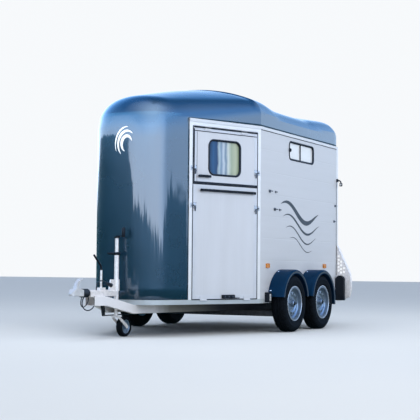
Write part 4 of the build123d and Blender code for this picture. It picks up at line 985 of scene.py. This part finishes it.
JOCKEY_X, JOCKEY_HUB = 3.740, (3.590, 0, 0.105)
rolling = Shape()
half_tyre = ((0.072, 0.026), (0.076, 0.031), (0.088, 0.035), (0.097, 0.0325), (0.1025, 0.025), (0.105, 0.012))
half_rim = (
    (0.010, 0.034), (0.022, 0.034), (0.025, 0.026), (0.030, 0.010), (0.058, 0.012), (0.066, 0.026), (0.0725, 0.027),
)
for half, segments, mat in ((half_tyre, 56, 0), (half_rim, 48, 1)):
    whole = both_sides(half)
    rolling.lathe(whole + whole[:1], JOCKEY_HUB, (0, 1, 0), segments, mat)
rolling.piece("jockey_tyre", ["tyre_rubber", "wheel_steel"], "jockey_wheel", "tyre_rubber", "jockey_wheel")

grips = Shape()
collar = [(0.0245, -0.008), (0.036, -0.008), (0.040, -0.003), (0.040, 0.006), (0.036, 0.011), (0.0245, 0.011)]
clamp_handle = [(0, 0), (0.008, 0), (0.012, 0.004), (0.013, 0.05), (0.010, 0.076), (0, 0.080)]
crank_grip = [(0, 0), (0.015, 0.002), (0.0185, 0.012), (0.0185, 0.090), (0.014, 0.098), (0, 0.100)]
grips.lathe(collar, (JOCKEY_X, 0, 0.862), (0, 0, 1), 32)
grips.lathe(clamp_handle, (JOCKEY_X, -0.030, 0.863), (0, -1, 0), 16)
grips.lathe(crank_grip, (JOCKEY_X, 0.080, 1.031), (0, 0, 1), 18)
grips.piece("jockey_grips", ["black_plastic"], "trailer", "black_plastic")


# Cables: one over the housing to its parked plug, two hanging under the bellows

def cable(name, route, diameter):
    """A free cable along a smooth spline with the route's points as its control points."""
    curve = bpy.data.curves.new(name, "CURVE")
    curve.dimensions = "3D"
    curve.bevel_depth = diameter / 2
    curve.bevel_resolution = 4
    spline = curve.splines.new("NURBS")
    spline.points.add(len(route) - 1)
    for point, (x, y, z) in zip(spline.points, route):
        point.co = (x + SHIFT, y, z, 1)
    spline.order_u = 3
    spline.use_endpoint_u = True
    spline.resolution_u = 10
    curve.materials.append(MATERIALS["rubber"])
    piece = add_object(name, curve)
    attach(piece, "trailer")
    x, y, z = route[0]


plug = Shape()
plug.rod((3.978, 0.050, 0.556), (3.925, 0.050, 0.540), 0.018, 16)
plug.rod((3.925, 0.050, 0.540), (3.908, 0.050, 0.535), 0.022, 16)
parked_plug = plug.piece("parked_plug", ["rubber"], "trailer", "gasket_rubber")
cable("plug_cable", (
    (4.150, 0.030, 0.490), (4.150, 0.032, 0.540), (4.130, 0.036, 0.575), (4.080, 0.042, 0.585), (4.020, 0.048, 0.575),
    (3.970, 0.050, 0.554),
), 0.012)
cable("brake_cable", (
    (4.345, 0.020, 0.424), (4.385, 0.024, 0.395), (4.390, 0.030, 0.330), (4.335, 0.034, 0.292), (4.265, 0.036, 0.292),
    (4.205, 0.036, 0.318), (4.180, 0.034, 0.365), (4.180, 0.030, 0.425),
), 0.011)
cable("lamp_cable", (
    (4.325, -0.020, 0.424), (4.350, -0.022, 0.372), (4.320, -0.026, 0.322), (4.255, -0.030, 0.325),
    (4.200, -0.030, 0.372), (4.200, -0.028, 0.425),
), 0.009)


# Rear end: borders and seals of the ramp and flap, and the ramps' mats with their cleats

REAR_EDGE, REAR_SPLIT, REAR_TOP = 0.865, 1.441, 2.245
ramp_edge, flap_edge, rear_seal = Shape(), Shape(), Shape()
border(ramp_edge, rear, -REAR_EDGE, REAR_EDGE, RAMP_LOW, REAR_SPLIT - 0.006)
border(flap_edge, rear, -REAR_EDGE, REAR_EDGE, REAR_SPLIT + 0.006, REAR_TOP)
strip(flap_edge, rear, (-0.55, 1.502), (0.55, 1.520), 0.0005, 0.012, 0.003, BLACK)
for y in (-0.55, 0.55):
    strip(ramp_edge, rear, (y - 0.075, 1.290), (y + 0.075, 1.306), 0.0005, 0.014, 0.003, BLACK)
ramp_edge.piece("rear_ramp_border", ["leaf_edge", "black_plastic"], "rear_ramp", "frame_profile")
flap_edge.piece("rear_flap_border", ["leaf_edge", "black_plastic"], "rear_flap", "frame_profile")
seal_line(rear_seal, rear, -REAR_EDGE - 0.0005, REAR_EDGE + 0.0005, RAMP_LOW - 0.0005, REAR_TOP + 0.0005, 0.005,
          -0.020, -0.004)
rear_seal.piece("rear_door_seal", ["rubber"], "trailer", "gasket_rubber")


def cleated_mat(name, place, low, high, body, cleats=7):
    """A rubber mat on a ramp's inner face with bars across it; place is a wall's place function."""
    shape = Shape()
    strip(shape, place, low, high, -WALL_THICKNESS - 0.004, -WALL_THICKNESS - 0.0003, 0.001)
    for k in range(cleats):
        z = low[1] + (high[1] - low[1]) * (k + 0.5) / cleats
        strip(shape, place, (low[0] + 0.03, z - 0.009), (high[0] - 0.03, z + 0.009), -WALL_THICKNESS - 0.011,
              -WALL_THICKNESS - 0.004, 0.002)
    shape.piece(name, ["floor_mat"], body, "floor_board")


cleated_mat("rear_ramp_mat", rear, (-0.82, 0.43), (0.82, 1.39), "rear_ramp")
cleated_mat("side_ramp_mat", door, (0.09, 0.43), (0.93, 1.56), "side_ramp")


# Inside: kick linings on the side walls with their top trim and upright ribs

def inside(wall):
    """The place function of a side wall's inner face, out from it into the body."""
    return lambda x, z, out=0.0: wall(x, z, -WALL_THICKNESS - out)


linings = Shape()
for wall in (left, right):
    strips(
        linings, inside(wall), ((0.10, 0.372), (2.05, 1.000), 0.0005, 0.006, 0.002),
        ((0.10, 1.000), (2.05, 1.022), 0.0005, 0.009, 0.002, 1),
        *(((x - 0.006, 0.380), (x + 0.006, 0.990), 0.006, 0.0085, 0.001) for x in (0.45, 0.85, 1.25, 1.65)),
    )
linings.piece("kick_linings", ["padding", "profile_metal"], "trailer", "partition_panel")


# Decoration: wave ribbons on the left wall and arcs on the nose

ARCS_Y, ARCS_Z, ARCS_WIDER, ARCS_TALLER = 0.055, 2.010, 0.85, 1.1


def ribbon(shape, points, widths, lift):
    """A thin flat band along (across, up) points; lift carries them onto the surface at a distance out."""
    rows = []
    for (a, b), width, before, after in zip(points, widths, points[:1] + points, points[1:] + points[-1:]):
        run = Vector((after[0] - before[0], after[1] - before[1])).normalized()
        side = Vector((-run.y, run.x)) * width / 2
        one, two = (a + side.x, b + side.y), (a - side.x, b - side.y)
        rows.append([lift(*one, 0.0002), lift(*one, 0.0010), lift(*two, 0.0010), lift(*two, 0.0002)])
    shape.grid(rows, closed=True, capped=True)


waves = Shape()
# start, end, height of the middle line, swing, waves along, broadest width
for start, end, z, swing, turns, broad in (
    (1.720, 0.600, 1.430, 0.090, 1.05, 0.060), (1.660, 0.580, 1.290, 0.085, 1.05, 0.028),
    (1.580, 0.680, 1.165, 0.075, 1.00, 0.018), (1.470, 0.800, 1.055, 0.055, 0.90, 0.011),
):
    shares = [k / 60 for k in range(61)]
    ribbon(waves, [
        (start + (end - start) * t, z + swing * math.sin(2 * math.pi * turns * t + 0.5) - 0.10 * t) for t in shares
    ], [0.0015 + broad * math.sin(math.pi * t) ** 0.8 for t in shares], left)
waves.piece("wall_waves", ["drawn_black"], "trailer", "black_plastic", sharp=60)

bpy.context.view_layer.update()
skin_tree = BVHTree.FromObject(skin, bpy.context.evaluated_depsgraph_get())


def on_nose(y, z, out=0.0):
    """A point on the nose's front face."""
    hit, normal, _, _ = skin_tree.ray_cast(Vector((NOSE_X + SHIFT + 1, y, z)), Vector((-1, 0, 0)))
    return hit + normal * out - Vector((SHIFT, 0, 0))


arcs = Shape()
# radius, broadest width, first and last angle in degrees
for radius, broad, first, last in ((0.075, 0.034, 20, 250), (0.125, 0.026, 50, 230), (0.165, 0.016, 85, 205)):
    shares = [k / 36 for k in range(37)]
    angles = [math.radians(first + (last - first) * t) for t in shares]
    ribbon(arcs, [
        (ARCS_Y + ARCS_WIDER * radius * math.cos(angle), ARCS_Z + ARCS_TALLER * radius * math.sin(angle))
        for angle in angles
    ], [0.001 + broad * math.sin(math.pi * t) ** 0.7 for t in shares], on_nose)
arcs.piece("nose_arcs", ["drawn_white"], "trailer", "black_plastic", sharp=60)


# Camera and stage

def set_camera():
    """The photograph's camera, found from the body's corners; picture numbers are pixels of its 420 x 420 frame."""
    frame_pixels, focal_pixels, axis_row = 420, 1104.95, 212
    place = (13.346 + SHIFT, 6.289, 0.705)
    yaw, pitch, roll = math.radians(-151.59), math.radians(2.982), math.radians(0.486)
    data = bpy.data.cameras.new("camera")
    data.sensor_width = 36
    data.lens = data.sensor_width * focal_pixels / frame_pixels
    data.shift_y = (axis_row - frame_pixels / 2) / frame_pixels
    data.clip_end = 200
    camera = add_object("camera", data)
    forward = Vector((math.cos(yaw) * math.cos(pitch), math.sin(yaw) * math.cos(pitch), math.sin(pitch)))
    across = forward.cross(Vector((0, 0, 1))).normalized()
    up = across.cross(forward)
    turned_across = math.cos(roll) * across + math.sin(roll) * up
    turned_up = -math.sin(roll) * across + math.cos(roll) * up
    turn = Matrix((turned_across, turned_up, -forward)).transposed().to_4x4()
    camera.matrix_world = Matrix.Translation(place) @ turn
    bpy.context.scene.camera = camera


TO_SUN = (0.383, 0.321, 0.866)
# Strength of the mirrored sky, and what its pale parts add
SKY_LIGHT, PALE_LIGHT = 2.6, 3.0
FLOOR_HALF = 60


def reflected_surround(tree):
    """What glossy surfaces mirror: a sky paler near the horizon and round the sun, over a dark line of trees."""
    where = add_node(tree, "TexCoord", {}).outputs["Generated"]
    split = add_node(tree, "SeparateXYZ", {0: where}).outputs
    height = split["Z"]
    around = calc(tree, "MULTIPLY_ADD", calc(tree, "ARCTAN2", split["Y"], split["X"]), 0.5 / math.pi, 0.5)

    def by_angle(*values):
        """A value or colour for each angle in degrees round from ahead, between them in even steps."""
        return ramp(tree, around, [((angle + 180) / 360, value) for angle, value in values])

    sky = ramp(tree, height, [
        (0.0, (0.68, 0.77, 0.92)), (0.15, (0.62, 0.74, 0.93)), (0.38, (0.36, 0.57, 0.92)), (0.63, (0.14, 0.38, 0.85)),
        (0.80, (0.03, 0.14, 0.42)), (1.0, (0.03, 0.12, 0.38)),
    ])
    tint = by_angle(
        (-180, (0.78, 0.90, 1.0)), (-100, (0.9, 0.97, 1.0)), (-40, 1.0), (70, 1.0), (90, (0.74, 0.86, 1.0)),
        (180, (0.78, 0.90, 1.0)),
    )
    haze = by_angle(
        (-180, 0.3), (-130, 0.6), (-40, 0.9), (-24, 1.1), (82, 1.1), (92, 0.30), (135, 0.20), (180, 0.3),
    )
    low_down = ramp(tree, height, [(0.0, 1.0), (0.35, 0.85), (0.65, 0.0)])
    behind = by_angle((-180, 0.37), (-150, 0.42), (-115, 0.95), (112, 1.0), (140, 0.66), (165, 0.60), (180, 0.37))
    halo = ramp(tree, along(tree, TO_SUN, "Generated"), [(0.60, 0.0), (1.0, 0.8)])
    pale = calc(tree, "ADD", calc(tree, "MULTIPLY", haze, low_down), halo)
    strength = calc(tree, "MULTIPLY", calc(tree, "MULTIPLY_ADD", pale, PALE_LIGHT, SKY_LIGHT), behind)
    tinted = add_node(tree, "Mix", {"Factor": 1.0, 6: sky, 7: tint}, data_type="RGBA", blend_type="MULTIPLY")
    glow = add_node(tree, "Mix", {"Factor": halo, 6: tinted.outputs[2], 7: (0.55, 0.72, 0.95, 1)}, data_type="RGBA")

    # angle from ahead, sine of the trees' height there
    edge = by_angle(
        (-180, 0.02), (-120, 0.06), (-70, 0.18), (-36, 0.20), (-28, 0.10), (-22, 0.05), (30, 0.03), (82, 0.005),
        (90, 0.045), (100, 0.07), (108, 0.07), (120, 0.03), (150, 0.015), (180, 0.02),
    )
    for scale, swing in ((14.0, 0.09), (60.0, 0.035)):
        leaves = add_node(tree, "TexNoise", {"Vector": where, "Scale": scale}).outputs["Fac"]
        edge = calc(tree, "ADD", edge, calc(tree, "MULTIPLY", calc(tree, "SUBTRACT", leaves, 0.5), swing))
    above = {"Value": calc(tree, "SUBTRACT", height, edge), "From Min": 0.0, "From Max": 0.02}
    clear = add_node(tree, "MapRange", above, interpolation_type="SMOOTHSTEP").outputs["Result"]
    trees = add_node(tree, "Background", {"Color": (0.02, 0.09, 0.12, 1)}).outputs[0]
    sky_light = add_node(tree, "Background", {"Color": glow.outputs[2], "Strength": strength}).outputs[0]
    return add_node(tree, "MixShader", {0: clear, 1: trees, 2: sky_light}).outputs[0]


def set_world():
    """A soft pale light, seen as white by the camera and through glass, and mirrored as the surround."""
    world = bpy.context.scene.world = bpy.data.worlds.new("surround")
    world.use_nodes = True
    tree = world.node_tree
    light = tree.nodes["Background"]
    light.inputs["Color"].default_value = (0.86, 0.93, 1.0, 1)
    light.inputs["Strength"].default_value = 0.62
    seen = add_node(tree, "Background", {"Color": (0.93, 0.95, 0.97, 1), "Strength": 1.0}).outputs[0]
    rays = add_node(tree, "LightPath", {}).outputs
    either = calc(tree, "MAXIMUM", rays["Is Camera Ray"], rays["Is Transmission Ray"])
    mix = add_node(tree, "MixShader", {0: either, 1: light.outputs[0], 2: seen}).outputs[0]
    whole = add_node(tree, "MixShader", {0: rays["Is Glossy Ray"], 1: mix, 2: reflected_surround(tree)})
    tree.links.new(whole.outputs[0], tree.nodes["World Output"].inputs["Surface"])


def set_stage():
    """A pale floor and soft lamps."""
    mesh = bpy.data.meshes.new("floor_plane")
    size = FLOOR_HALF
    mesh.from_pydata([(-size, -size, 0), (size, -size, 0), (size, size, 0), (-size, size, 0)], [], [(0, 1, 2, 3)])
    ground = add_object("floor_plane", mesh)
    mesh.materials.append(finish("studio_floor", (0.66, 0.67, 0.68), 0.9, 0, 0.01, 0.4))
    ground.visible_glossy = False
    # name, place, aim, size, power, colour
    for name, place, aim, size, power, colour in (
        ("key", (8.0, 9.5, 8.5), (0.3, 0.6, 1.1), 7.0, 620, (1.0, 0.97, 0.93)),
        ("side", (-4.5, 10.0, 5.0), (0.0, 0.5, 1.2), 6.0, 300, (0.92, 0.96, 1.0)),
        ("top", (1.0, 0.0, 9.0), (0.2, 0.0, 1.0), 7.0, 300, (0.95, 0.98, 1.0)),
        ("inside", (1.3, 0.0, 2.35), (1.3, 0.0, 0.5), 1.0, 14, (0.95, 0.98, 1.0)),
    ):
        data = bpy.data.lights.new(name, "AREA")
        data.size = size
        data.energy = power
        data.color = colour
        lamp = add_object(name, data)
        lamp.visible_glossy = False
        lamp.location = place
        lamp.rotation_euler = (Vector(aim) - Vector(place)).to_track_quat("-Z", "Y").to_euler()


bpy.context.scene.view_settings.view_transform = "Standard"
set_camera()
set_world()
set_stage()
